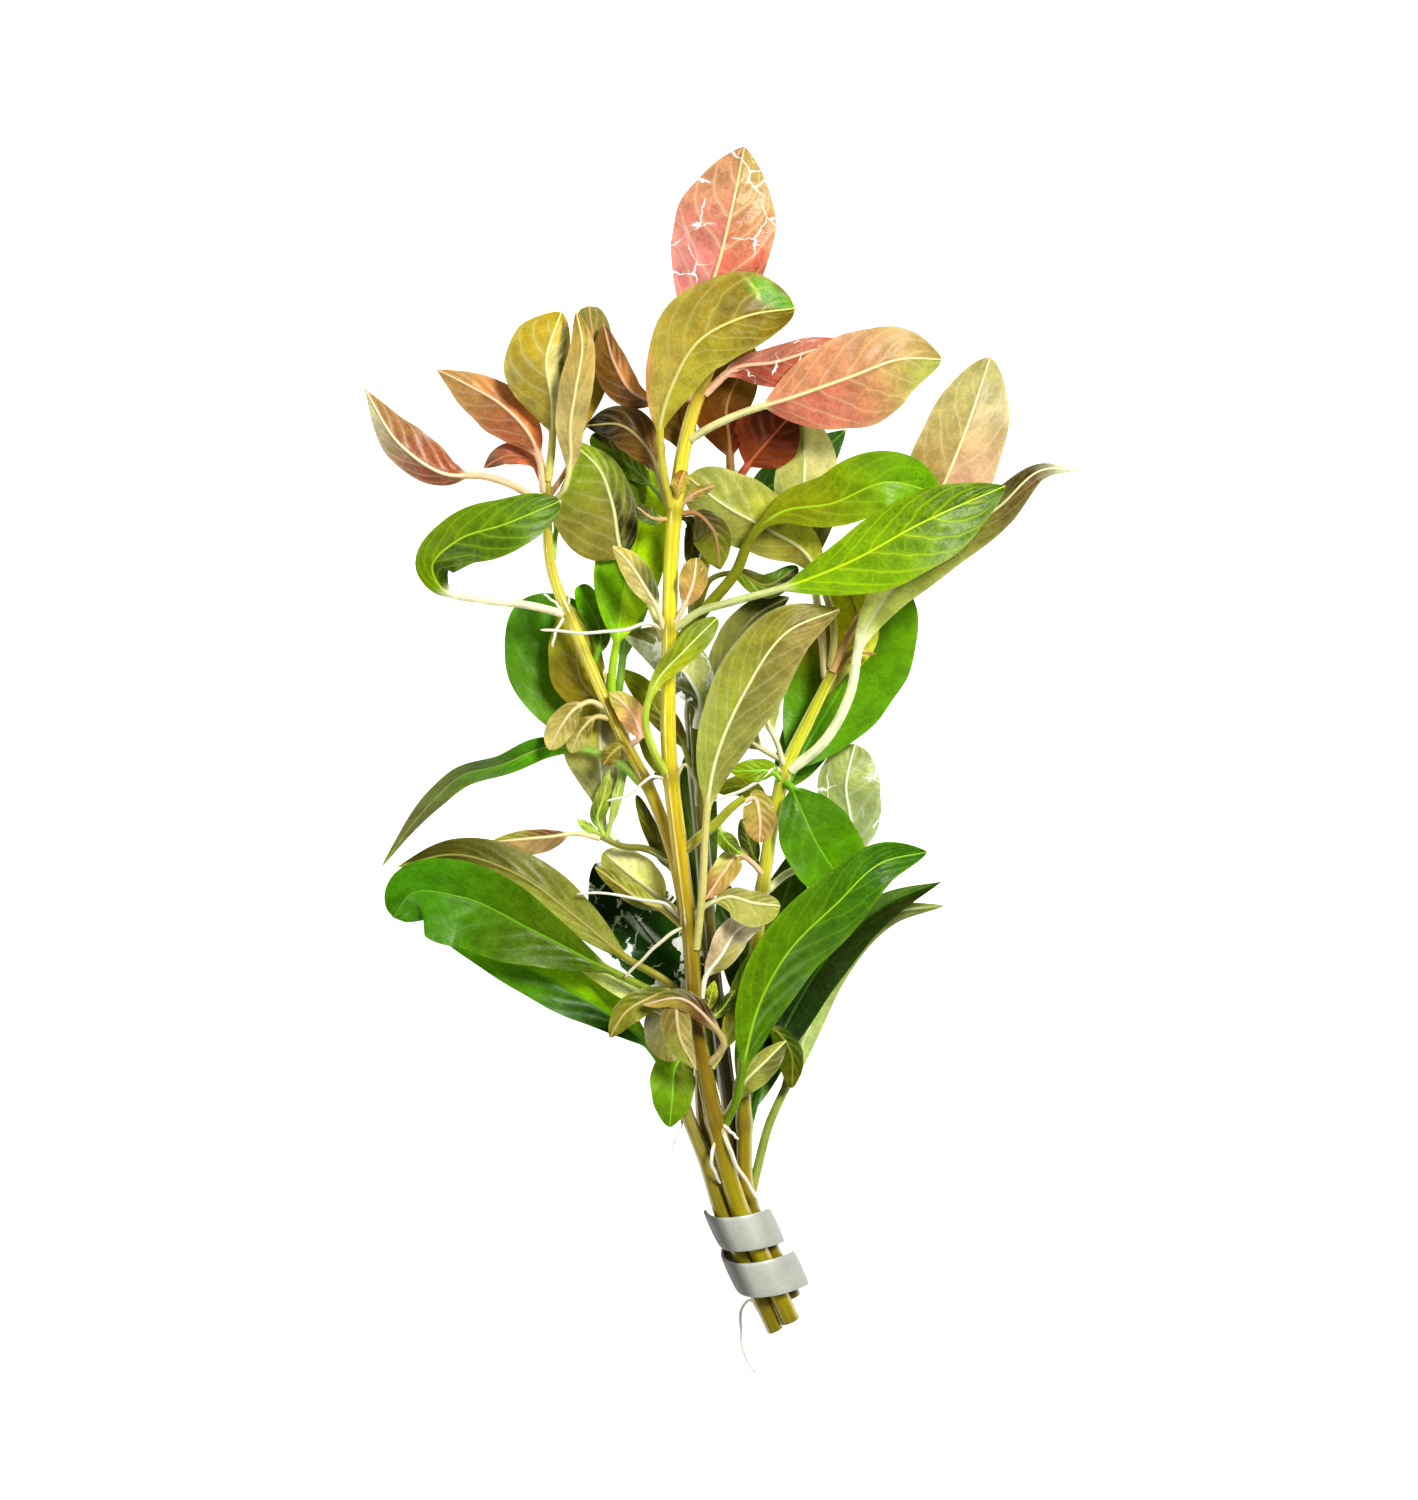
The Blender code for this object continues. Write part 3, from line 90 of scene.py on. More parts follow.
def tube_faces(count, corners):
    """Quads between neighbouring rings of corners points each, and one cap at either end."""
    ring, corner = np.meshgrid(np.arange(count - 1), np.arange(corners), indexing="ij")
    after = (corner + 1) % corners
    quads = np.stack([ring * corners + corner, ring * corners + after,
                      (ring + 1) * corners + after, (ring + 1) * corners + corner], -1)
    first = list(range(corners))[::-1]
    last = list(range((count - 1) * corners, count * corners))
    return quads.reshape(-1, 4).tolist() + [first, last]


def linear(tone):
    """Linear red, green, blue of a hex colour: v / 12.92, or ((v + 0.055) / 1.055) ** 2.4."""
    v = np.array([int(tone[i:i + 2], 16) for i in (1, 3, 5)]) / 255
    return np.where(v <= 0.04045, v / 12.92, ((v + 0.055) / 1.055)**2.4)


def ramp(value, low, high):
    """Smooth step: 3 t^2 - 2 t^3 of t = (value - low) / (high - low), held between 0 and 1."""
    t = np.clip((value - low) / (high - low), 0, 1)
    return t * t * (3 - 2 * t)


def between(a, b, t):
    """Colours a (1 - t) + b t, for a field t of shares."""
    return a * (1 - t[..., None]) + b * t[..., None]


def graded(place, stops, tones):
    """The colour at each place, mixed evenly between the tones that stand at the stops."""
    shades = np.array([linear(tone) for tone in tones])
    return np.stack([np.interp(place, stops, shades[:, k]) for k in range(3)], -1)


def piece(name, points, faces, material, node, colours, values=None, skin_map=None, crease=1.1):
    """A mesh that rides the bunch in place of a node, at the origin and in metres, smooth up to the
    crease angle in radians. colours and values are attributes of its points; skin_map, the place of
    each point on the unrolled skin in mm, becomes a UV map whose unit is 100 mm."""
    mesh = bpy.data.meshes.new(name)
    mesh.from_pydata((points.reshape(-1, 3) * 0.001).tolist(), [], faces)
    mesh.update()
    if skin_map is not None:
        corner_vertex = np.zeros(len(mesh.loops), int)
        mesh.loops.foreach_get("vertex_index", corner_vertex)
        uv = skin_map.reshape(-1, 2)[corner_vertex] * 0.01 + 0.5
        mesh.uv_layers.new(name="skin_map").data.foreach_set("uv", uv.astype(np.float32).ravel())
    for key, field in colours.items():
        field = np.clip(field.reshape(-1, 3), 0, 1)
        rgba = np.concatenate([field, np.ones((len(field), 1))], axis=1).astype(np.float32)
        mesh.attributes.new(key, "FLOAT_COLOR", "POINT").data.foreach_set("color", rgba.ravel())
    for key, field in (values or {}).items():
        field = field.astype(np.float32).ravel()
        mesh.attributes.new(key, "FLOAT", "POINT").data.foreach_set("value", field)
    mesh.shade_smooth()
    mesh.set_sharp_from_angle(angle=crease)
    mesh.materials.append(material)
    made = bpy.data.objects.new(name, mesh)
    bpy.context.scene.collection.objects.link(made)
    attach(made, "root")
    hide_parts(node)


def feed(socket, source):
    """Gives a node's input its source: a link from another node's output, or else a fixed value."""
    if isinstance(source, bpy.types.NodeSocket):
        socket.id_data.links.new(source, socket)
    else:
        socket.default_value = source


def add(tree, kind, *sources, output=0, **settings):
    """Adds one shader node and gives back one of its outputs. The sources feed its inputs from the
    first on. A setting feeds the input that it names, and any other setting is a property."""
    made = tree.nodes.new("ShaderNode" + kind)
    inputs = {socket.identifier: socket for socket in made.inputs}
    feeds = list(zip(made.inputs, sources))
    for key, value in settings.items():
        if key in inputs:
            feeds.append((inputs[key], value))
        else:
            setattr(made, key, value)
    for socket, source in feeds:
        feed(socket, source)
    return made.outputs[output]


def bare(name):
    """A new material and its node tree."""
    material = bpy.data.materials.new(name)
    material.use_nodes = True
    return material, material.node_tree


def dress(material, inputs):
    """Feeds the inputs of the material's surface shader."""
    shader = material.node_tree.nodes["Principled BSDF"]
    for key, source in inputs.items():
        feed(shader.inputs[key], source)
    return material


def paint(tone):
    """A hex colour as a node takes it: linear red, green, blue and 1."""
    return (*linear(tone), 1.0)


def juicy_stem():
    """Skin of a juicy water-plant stem, glossy under a film of water: the points' colour in light and
    dark streaks 0.4 mm wide and 9 mm long (250 and 11 to the map's 100 mm), which are also raised,
    with brown flecks of about 1 mm."""
    material, tree = bare("wet_stem_skin")
    tint = add(tree, "Attribute", attribute_name="tint", output="Color")
    place = add(tree, "UVMap", uv_map="skin_map")
    drawn = add(tree, "Mapping", place, Scale=(250.0, 11.0, 1.0))
    streak = add(tree, "TexNoise", drawn, Scale=1.0, Detail=4.0, Roughness=0.6)
    spots = add(tree, "Mapping", place, Scale=(120.0, 60.0, 1.0))
    fleck = add(tree, "TexNoise", spots, Scale=1.0, Detail=3.0, Roughness=0.7)
    light = add(tree, "MapRange", streak, 0.3, 0.7, 0.72, 1.22)
    shade = add(tree, "VectorMath", tint, Scale=light, operation="SCALE")
    brown = add(tree, "MapRange", fleck, 0.6, 0.75, 0.0, 0.5)
    flecked = add(tree, "Mix", brown, A_Color=shade, B_Color=paint("#705519"), data_type="RGBA", output=2)
    bump = add(tree, "Bump", Strength=0.35, Distance=0.00015, Height=streak)
    return dress(material, {"Base Color": flecked, "Roughness": 0.3, "Specular IOR Level": 0.6,
                            "Coat Weight": 0.5, "Coat Roughness": 0.08, "Normal": bump})


STEM_SKIN = juicy_stem()


def stem(name, points, radius, tones, joints=()):
    """Rod on a smooth path, with 24 rings to every 12 mm. Radius and colour are mixed evenly from foot
    to top. Near a joint, d mm off, the rod is thicker by 0.16 exp(-(d / 1.6)^2) of itself and ruddier;
    six low ribs, 1 + 0.025 cos 6a, run lengthwise, and the foot is dull where it was cut."""
    chord = run(points)
    count = 24 * max(4, int(chord[-1] / 12))
    share = np.linspace(0, 1, count)
    centre = along(points, share)
    size = np.interp(share, chord / chord[-1], radius)
    STEM_LINES[name] = (centre, size)
    reached = run(centre)
    swell = np.zeros(count)
    for height in joints:
        joint = reached[np.argmin(abs(centre[:, 1] - height))]
        swell = np.maximum(swell, np.exp(-((reached - joint) / 1.6)**2))
    corners = 20
    turn = np.linspace(0, 2 * np.pi, corners, endpoint=False)
    reach = np.outer(size * (1 + 0.16 * swell), 1 + 0.025 * np.cos(6 * turn))
    tint = graded(share, np.linspace(0, 1, len(tones)), tones)
    tint = between(tint, linear("#746018"), 0.5 * swell)
    tint = between(tint, linear("#7C7828"), 0.8 * ramp(-reached, -1.2, 0.0))
    skin_map = np.stack(np.broadcast_arrays(np.outer(size, turn), reached[:, None]), -1)
    piece(name + "_skin", rings(centre, *directions(centre), reach), tube_faces(count, corners),
          STEM_SKIN, name, {"tint": np.repeat(tint, corners, axis=0)}, skin_map=skin_map)


# The strip's middle and its directions, because every tied stem runs straight through it.
BAND_MIDDLE = np.array((6, -83.5, 5.82))
BAND_AXIS = unit((-0.4, 0.88, 0.25))
BAND_ACROSS = unit(np.cross(BAND_AXIS, (0.0, 0.0, 1.0)))
BAND_UP = np.cross(BAND_ACROSS, BAND_AXIS)


def tied(across, up, below, path):
    """A tied stem's line: straight through its place in the strip, from its foot, below mm under the
    strip's middle, to 11 mm over it, then along its free path."""
    place = BAND_MIDDLE + BAND_ACROSS * across + BAND_UP * up
    return np.vstack([[place + BAND_AXIS * reach for reach in (-below, 0.0, 11.0)], path])


stem("stem_main",
     tied(0.7, 2.3, 11, ((-1, -61.5, 15), (-4.5, -43, 19), (-5.5, -29.5, 21.5), (-7.5, -13, 23.5),
          (-9, 0.5, 24.5), (-9, 21.5, 26), (-8, 42.5, 27), (-5, 58.5, 28), (-2, 66, 28.5))),
     (1.59, 1.59, 1.59, 1.54, 1.33, 1.33, 1.33, 1.28, 1.23, 1.23, 1.14, 0.85),
     ("#948410", "#A89C10", "#8C7410", "#907C0C", "#C4A810", "#D8C81C", "#E4D82C", "#E8DC38", "#CCB044"),
     (62, 42, 22, -2, -27, -41, -60))
stem("stem_left",
     tied(-1.7, -1.85, 8, ((-3, -61.5, 10.5), (-4, -46.5, 14), (-5.5, -31.5, 17), (-8, -17, 19.5),
          (-11.5, -6.5, 20.5), (-16.5, 3.5, 21), (-20.5, 12, 21), (-24.5, 21.5, 21), (-28.5, 31.5, 21),
          (-29.5, 47.5, 22))),
     (1.26, 1.26, 1.26, 1.32, 1.07, 1.07, 1.07, 1.03, 0.99, 0.95, 0.95, 0.9, 0.69),
     ("#847810", "#847418", "#C0A410", "#C0A814", "#D4C82C", "#C0B440"), (45, 25, 8.5, -3, -26, -42))
stem("stem_right",
     tied(2.75, -0.1, 8, ((3.5, -61.5, 11), (3.5, -49.5, 13), (5, -34.5, 13.5), (6.5, -21.5, 14.5),
          (8.5, -9, 14.5), (10.5, -1, 15), (14, 6.5, 15), (18.5, 15.5, 15.5))),
     (1.3, 1.3, 1.3, 1.3, 1.2, 1.15, 1.1, 1.1, 1.1, 1.05, 0.8),
     ("#807410", "#A08C14", "#94901C", "#B4B028", "#D4D438", "#D0D034"), (14.5, -3, -21, -60, -73))
# The back stem's tones are dark as painted shade, where it lies under the other stems.
stem("stem_back",
     tied(1.25, -2.5, 7.8, ((1.5, -61.5, 8.5), (0, -49.5, 10), (-2, -33, 11), (-3.5, -14.5, 11.5),
          (-5, 3.5, 12.5), (-5, 17, 14), (-4, 30.5, 16), (0, 42, 18.5), (2, 48.5, 20.5))),
     (1.32, 1.32, 1.32, 1.32, 1.32, 1.32, 1.26, 1.26, 1.21, 1.15, 1.03, 0.8),
     ("#5C5010", "#544810", "#5C5414", "#7C8018", "#747018"), (47, 27, 8, -42))
stem("stem_lower_left", tied(-2.3, 1.3, 11.6, ((-3, -66.5, 12), (-6, -59, 13.5), (-8, -53, 14.5))),
     (1.4, 1.35, 1.3, 1.25, 1.1, 0.9), ("#84780C", "#8C8014", "#A09850"), (-56, -90))


# Side shoots
# Young stems only 1 to 1.6 mm thick, of the same juicy yellow-olive rod. Each grows out of the skin
# of an older stem at a joint, on the side that it leans to.
def branched(host, at, thick, path):
    """A branch's line: it starts on its host's skin, a quarter of its thickness deep, on the side that
    faces the path's first point. at is a height on a stem, and a share of the length on a shoot."""
    centre, size = STEM_LINES[host]
    if host.startswith("shoot"):
        i = int(round(at * (len(centre) - 1)))
    else:
        i = int(np.argmin(abs(centre[:, 1] - at)))
    forward = unit(np.gradient(centre, axis=0))[i]
    heading = np.array(path[0], float) - centre[i]
    outward = unit(heading - forward * np.dot(heading, forward))
    return np.vstack([centre[i] + outward * (size[i] - 0.25 * thick), path])


stem("shoot_low_left",
     branched("stem_left", -16.5, 0.6, ((-13, -14.5, 18), (-17, -14, 18), (-20.5, -12.5, 18))),
     (0.6, 0.6, 0.55, 0.5), ("#747420", "#8C8C30"))
stem("shoot_low_right",
     branched("stem_main", -15, 0.8, ((-4, -12.5, 22.5), (-1.5, -10.5, 22.5), (1.5, -7.5, 22.5),
              (3.5, -6, 22.5))), (0.8, 0.8, 0.8, 0.7, 0.6), ("#A8A030", "#A4AC20"))


# Rootlets
# Water roots that sprout at the joints: white to cream threads half a millimetre thick, blunt and a
# little wavy, some only buds.
def root_skin():
    """Pale root skin, a little see-through, so its shaded side stays soft: the points' colour, clouded
    with straw by noise of 1 mm."""
    material, tree = bare("pale_root_skin")
    tint = add(tree, "Attribute", attribute_name="tint", output="Color")
    place = add(tree, "TexCoord", output="Object")
    cloud = add(tree, "TexNoise", place, Scale=900.0, Detail=2.0)
    straw = add(tree, "Math", cloud, 0.35, operation="MULTIPLY")
    dull = add(tree, "Mix", straw, A_Color=tint, B_Color=paint("#B8A060"), data_type="RGBA", output=2)
    return dress(material, {"Base Color": dull, "Roughness": 0.4, "Coat Weight": 0.3,
                            "Coat Roughness": 0.1, "Subsurface Weight": 0.15,
                            "Subsurface Radius": (0.001, 0.001, 0.0006)})


ROOT_SKIN = root_skin()


def rootlet(name, host, at, radius, path, tone="#F0F0E4"):
    """Thread on a smooth path from the stem's skin: its radius is r (1 - 0.3 t) along the share t,
    rounded over the last 0.06 by sqrt(1 - x^2), with a sideways wave of 0.07 mm, and it is brownish
    where it leaves the stem."""
    count = 60
    corners = 12
    share = np.linspace(0, 1, count)
    centre = along(branched(host, at, 0.9, path), share)
    right, up = directions(centre)
    wave = 0.07 * np.sin(2 * np.pi * share * 2.6) * ramp(share, 0.1, 0.4)
    tip = np.clip((share - 0.94) / 0.06, 0, 0.995)
    size = radius * (1 - 0.3 * share) * np.sqrt(1 - tip**2)
    points = rings(centre + wave[:, None] * right, right, up, np.outer(size, np.ones(corners)))
    tint = between(linear("#B8A858"), linear(tone), ramp(share, 0.0, 0.15))
    piece(name, points, tube_faces(count, corners), ROOT_SKIN, host,
          {"tint": np.repeat(tint, corners, axis=0)})


rootlet("root_upper_left_long", "stem_main", 21.5, 0.36,
        ((-12, 23, 27), (-16.5, 22, 27.5), (-22, 21.5, 28), (-30.5, 22, 27.5)), "#F0F0E0")
rootlet("root_upper_left_down", "stem_left", 24.5, 0.3, ((-28, 21.5, 22), (-28.5, 19, 22)))
rootlet("root_upper_left_back", "stem_left", 25, 0.28, ((-28, 26.5, 22), (-30, 28, 22)))
rootlet("root_upper_left_bud", "stem_left", 26, 0.26, ((-25.5, 28, 22), (-25, 29.5, 22)))
rootlet("root_middle_left", "stem_main", -2.5, 0.3,
        ((-12, -2.5, 26), (-14.5, -4.5, 26), (-17, -6, 25.5), (-19.5, -6.5, 25)))
rootlet("root_middle_front", "stem_main", -2.5, 0.3,
        ((-6.5, -0.5, 25.5), (-5, -2.5, 25), (-4.5, -7.5, 24.5)), "#DCD8A8")
rootlet("root_middle_right", "stem_right", -2, 0.36,
        ((8.5, -1, 18), (5.5, -3.5, 19), (2.5, -5, 19), (-1.5, -6.5, 19)))
rootlet("root_low_left_long", "stem_left", -26, 0.3,
        ((-10, -23.5, 21), (-14, -23, 21.5), (-18.5, -22, 21.5), (-24.5, -22, 21)))
rootlet("root_low_left_down", "stem_main", -27.5, 0.36,
        ((-8.5, -28.5, 23), (-12, -31.5, 23), (-16.5, -36, 22)), "#E4E0C0")
rootlet("root_foot_long", "stem_main", -61, 0.42,
        ((1, -64.5, 16), (2.5, -68, 14), (4.5, -71, 12.5), (5.5, -73, 11.5)), "#F0ECD4")
rootlet("root_foot_bud", "stem_main", -60.5, 0.34, ((1, -61.5, 16.5), (2.5, -63, 16)))
rootlet("root_foot_left", "stem_main", -63, 0.34, ((-2, -66, 16), (-0.5, -70.5, 12.5)))
rootlet("root_right_bud", "stem_right", 15.5, 0.4, ((20, 17.5, 16), (21.5, 17.5, 16.5)))
rootlet("root_cut_end", "stem_lower_left", -91, 0.3,
        ((4.5, -90, 3), (3, -91.5, 1.5), (3, -95, 0.7), (3, -97.5, 0.5), (4, -100, 0.4),
         (5.5, -102.5, 0.4)), "#DCDCD4")
rootlet("root_lower_left_bud", "stem_lower_left", -58.5, 0.22,
        ((-7, -60.5, 13), (-8, -63, 12.5), (-8.5, -65, 12)))

# Leaves of the main stem's top
# A leaf is one thin wet blade, a third of a millimetre thick, on a fleshy stalk: pointed oval, its
# midrib and arched side veins raised on the pale or rosy lower face and sunk in the green upper one.
# These stand at the top joints of the front stem, most of them with the lower face up.
def leaf_skin():
    """Skin of a fresh leaf just out of the water: half matt, with a thin film of water. Side veins lie
    where the phase, wobbled by noise, is a whole number, and the midrib where the sideways distance is
    small; nets of 4 and 1.6 mm cells fill in between. They take the rib colour, and the rest is the
    points' colour, mottled by noise of 3.6 and 0.6 mm. Where wet is high, painted highlights of the
    water film lie near white along the borders of cells of 6 mm, and where it is highest there are
    painted white pools of reflected light. The map's unit is 100 mm, so a pattern's scale is 100 over
    its size in mm."""
    material, tree = bare("wet_leaf_skin")
    smooth = {"interpolation_type": "SMOOTHSTEP"}
    tint, rib = (add(tree, "Attribute", attribute_name=key, output="Color") for key in ("tint", "rib"))
    phase, pitch, inner, wet, strength, slim = (
        add(tree, "Attribute", attribute_name=key, output="Fac")
        for key in ("phase", "pitch", "inner", "wet", "strength", "slim"))
    place = add(tree, "UVMap", uv_map="skin_map")
    wide = add(tree, "TexNoise", place, Scale=28.0, Detail=3.0)
    fine = add(tree, "TexNoise", place, Scale=170.0, Detail=3.0)

    wobbled = add(tree, "Math", wide, 0.5, phase, operation="MULTIPLY_ADD")
    from_vein = add(tree, "Math", wobbled, 0.5, operation="PINGPONG")
    side = add(tree, "Math", from_vein, pitch, operation="MULTIPLY")
    line = add(tree, "MapRange", side, 0.08, 0.42, 0.62, 0.0, **smooth)
    glow = add(tree, "MapRange", side, 0.1, 1.5, 0.26, 0.0, **smooth)
    side_vein = add(tree, "Math", line, glow, operation="MAXIMUM")
    across = add(tree, "SeparateXYZ", place)
    off = add(tree, "Math", add(tree, "Math", across, 0.5, operation="SUBTRACT"), operation="ABSOLUTE")
    slimmed = add(tree, "Math", off, slim, operation="DIVIDE")
    midrib = add(tree, "MapRange", slimmed, 0.0015, 0.0048, 1.0, 0.0, **smooth)
    warp = add(tree, "TexNoise", place, Scale=45.0, Detail=2.0, output=1)
    bent = add(tree, "VectorMath", warp, (0.025, 0.025, 0.0), place, operation="MULTIPLY_ADD")
    net = add(tree, "TexVoronoi", bent, Scale=62.0, feature="DISTANCE_TO_EDGE")
    cross = add(tree, "TexVoronoi", bent, Scale=26.0, feature="DISTANCE_TO_EDGE")
    net_line = add(tree, "MapRange", net, 0.0, 0.1, 0.12, 0.0, **smooth)
    cross_line = add(tree, "MapRange", cross, 0.0, 0.09, 0.2, 0.0, **smooth)
    thread = add(tree, "Math", net_line, cross_line, operation="MAXIMUM")
    branches = add(tree, "Math", side_vein, thread, operation="MAXIMUM")
    branches = add(tree, "Math", branches, inner, operation="MULTIPLY")
    branches = add(tree, "Math", branches, strength, operation="MULTIPLY")
    veins = add(tree, "Math", branches, midrib, operation="MAXIMUM")

    broad_shade = add(tree, "MapRange", wide, 0.3, 0.7, 0.8, 1.16, **smooth)
    fine_shade = add(tree, "MapRange", fine, 0.3, 0.7, 0.9, 1.08, **smooth)
    shade = add(tree, "Math", broad_shade, fine_shade, operation="MULTIPLY")
    body = add(tree, "VectorMath", tint, Scale=shade, operation="SCALE")
    veined = add(tree, "Mix", veins, A_Color=body, B_Color=rib, data_type="RGBA", output=2)

    # Painted highlights: near-white lines of light reflected by the water film, along the borders of 6 mm
    # cells in patches, and white pools on the wettest leaves, mixed over the colour.
    border = add(tree, "TexVoronoi", bent, Scale=17.0, feature="DISTANCE_TO_EDGE")
    drawn = add(tree, "MapRange", border, 0.004, 0.03, 1.0, 0.0, **smooth)
    patch = add(tree, "TexNoise", place, Scale=11.0, Detail=2.0)
    where = add(tree, "MapRange", patch, 0.45, 0.53, 0.0, 1.0, **smooth)
    wet_highlight_share = add(tree, "MapRange", wet, 0.45, 0.9, 0.0, 1.0, **smooth)
    highlight_lines = add(tree, "Math", drawn, where, operation="MULTIPLY")
    highlight_lines = add(tree, "Math", highlight_lines, wet_highlight_share, operation="MULTIPLY")
    puddle = add(tree, "TexNoise", place, Scale=31.0, Detail=5.0)
    puddle = add(tree, "MapRange", puddle, 0.57, 0.59, 0.0, 1.0, **smooth)
    wettest = add(tree, "MapRange", wet, 0.95, 1.0, 0.0, 1.0, **smooth)
    highlight_pools = add(tree, "Math", puddle, wettest, operation="MULTIPLY")
    painted_highlight = add(tree, "Math", highlight_lines, highlight_pools, operation="MAXIMUM")
    with_highlights = add(tree, "Mix", painted_highlight, A_Color=veined, B_Color=paint("#FBFDF9"), data_type="RGBA", output=2)

    matt = add(tree, "MapRange", fine, 0.3, 0.7, 0.4, 0.56, **smooth)
    rough = add(tree, "Math", wet, -0.2, matt, operation="MULTIPLY_ADD")
    blisters = add(tree, "Math", wide, 1.6, operation="MULTIPLY")
    relief = add(tree, "Math", veins, 0.3, blisters, operation="MULTIPLY_ADD")
    relief = add(tree, "Math", net, 0.3, relief, operation="MULTIPLY_ADD")
    bump = add(tree, "Bump", Strength=0.4, Distance=0.0004, Height=relief)
    return dress(material, {"Base Color": with_highlights, "Roughness": rough, "Specular IOR Level": 0.16,
                            "Coat Weight": 0.04, "Coat Roughness": 0.08, "Normal": bump})


LEAF_SKIN = leaf_skin()


def halves(tone, right_half):
    """One tone, or a left and a right one, mixed by the share of the right half."""
    left, right = tone if isinstance(tone, tuple) else (tone, tone)
    return between(linear(left), linear(right), right_half)


def blade_tones(q, u, tone, tip, tip_from, vein, marks, reach):
    """Colours of the face that shows, at the share q of the blade's length and u of its half width:
    tone at the base, tip from about q = tip_from on, and a rim that leans to the veins' colour. A mark
    is a patch of colour along the line from (q, u) to (q, u), with its radius in mm, colour and share:
    full within 0.4 of the radius. Some marks are the leaf's own colour, and some are painted shade or
    painted highlights. reach is the blade's length and half width in mm."""
    right_half = ramp(u, -0.12, 0.12)
    towards_tip = ramp(q, tip_from - 0.25, tip_from + 0.4) * np.ones_like(u)
    body = between(halves(tone, right_half), halves(tip, right_half), towards_tip)
    body = between(body, linear(vein), 0.22 * ramp(abs(u), 0.84, 1.0) * ramp(q, 0.1, 0.3))
    place = np.stack(np.broadcast_arrays(q, u), -1) * reach
    for start_q, start_u, end_q, end_u, radius, colour, share in marks:
        start = np.array((start_q, start_u)) * reach
        line = np.array((end_q, end_u)) * reach - start
        nearest = np.clip((place - start) @ line / (line @ line), 0, 1)
        away = np.linalg.norm(place - start - nearest[..., None] * line, axis=-1)
        body = between(body, linear(colour), share * (1 - ramp(away, 0.4 * radius, radius)))
    return body


def ringed(shown, far):
    """Values round each ring of a blade: the face that shows from left to right, the far face back."""
    return np.concatenate([shown, far[:, ::-1]], axis=1)


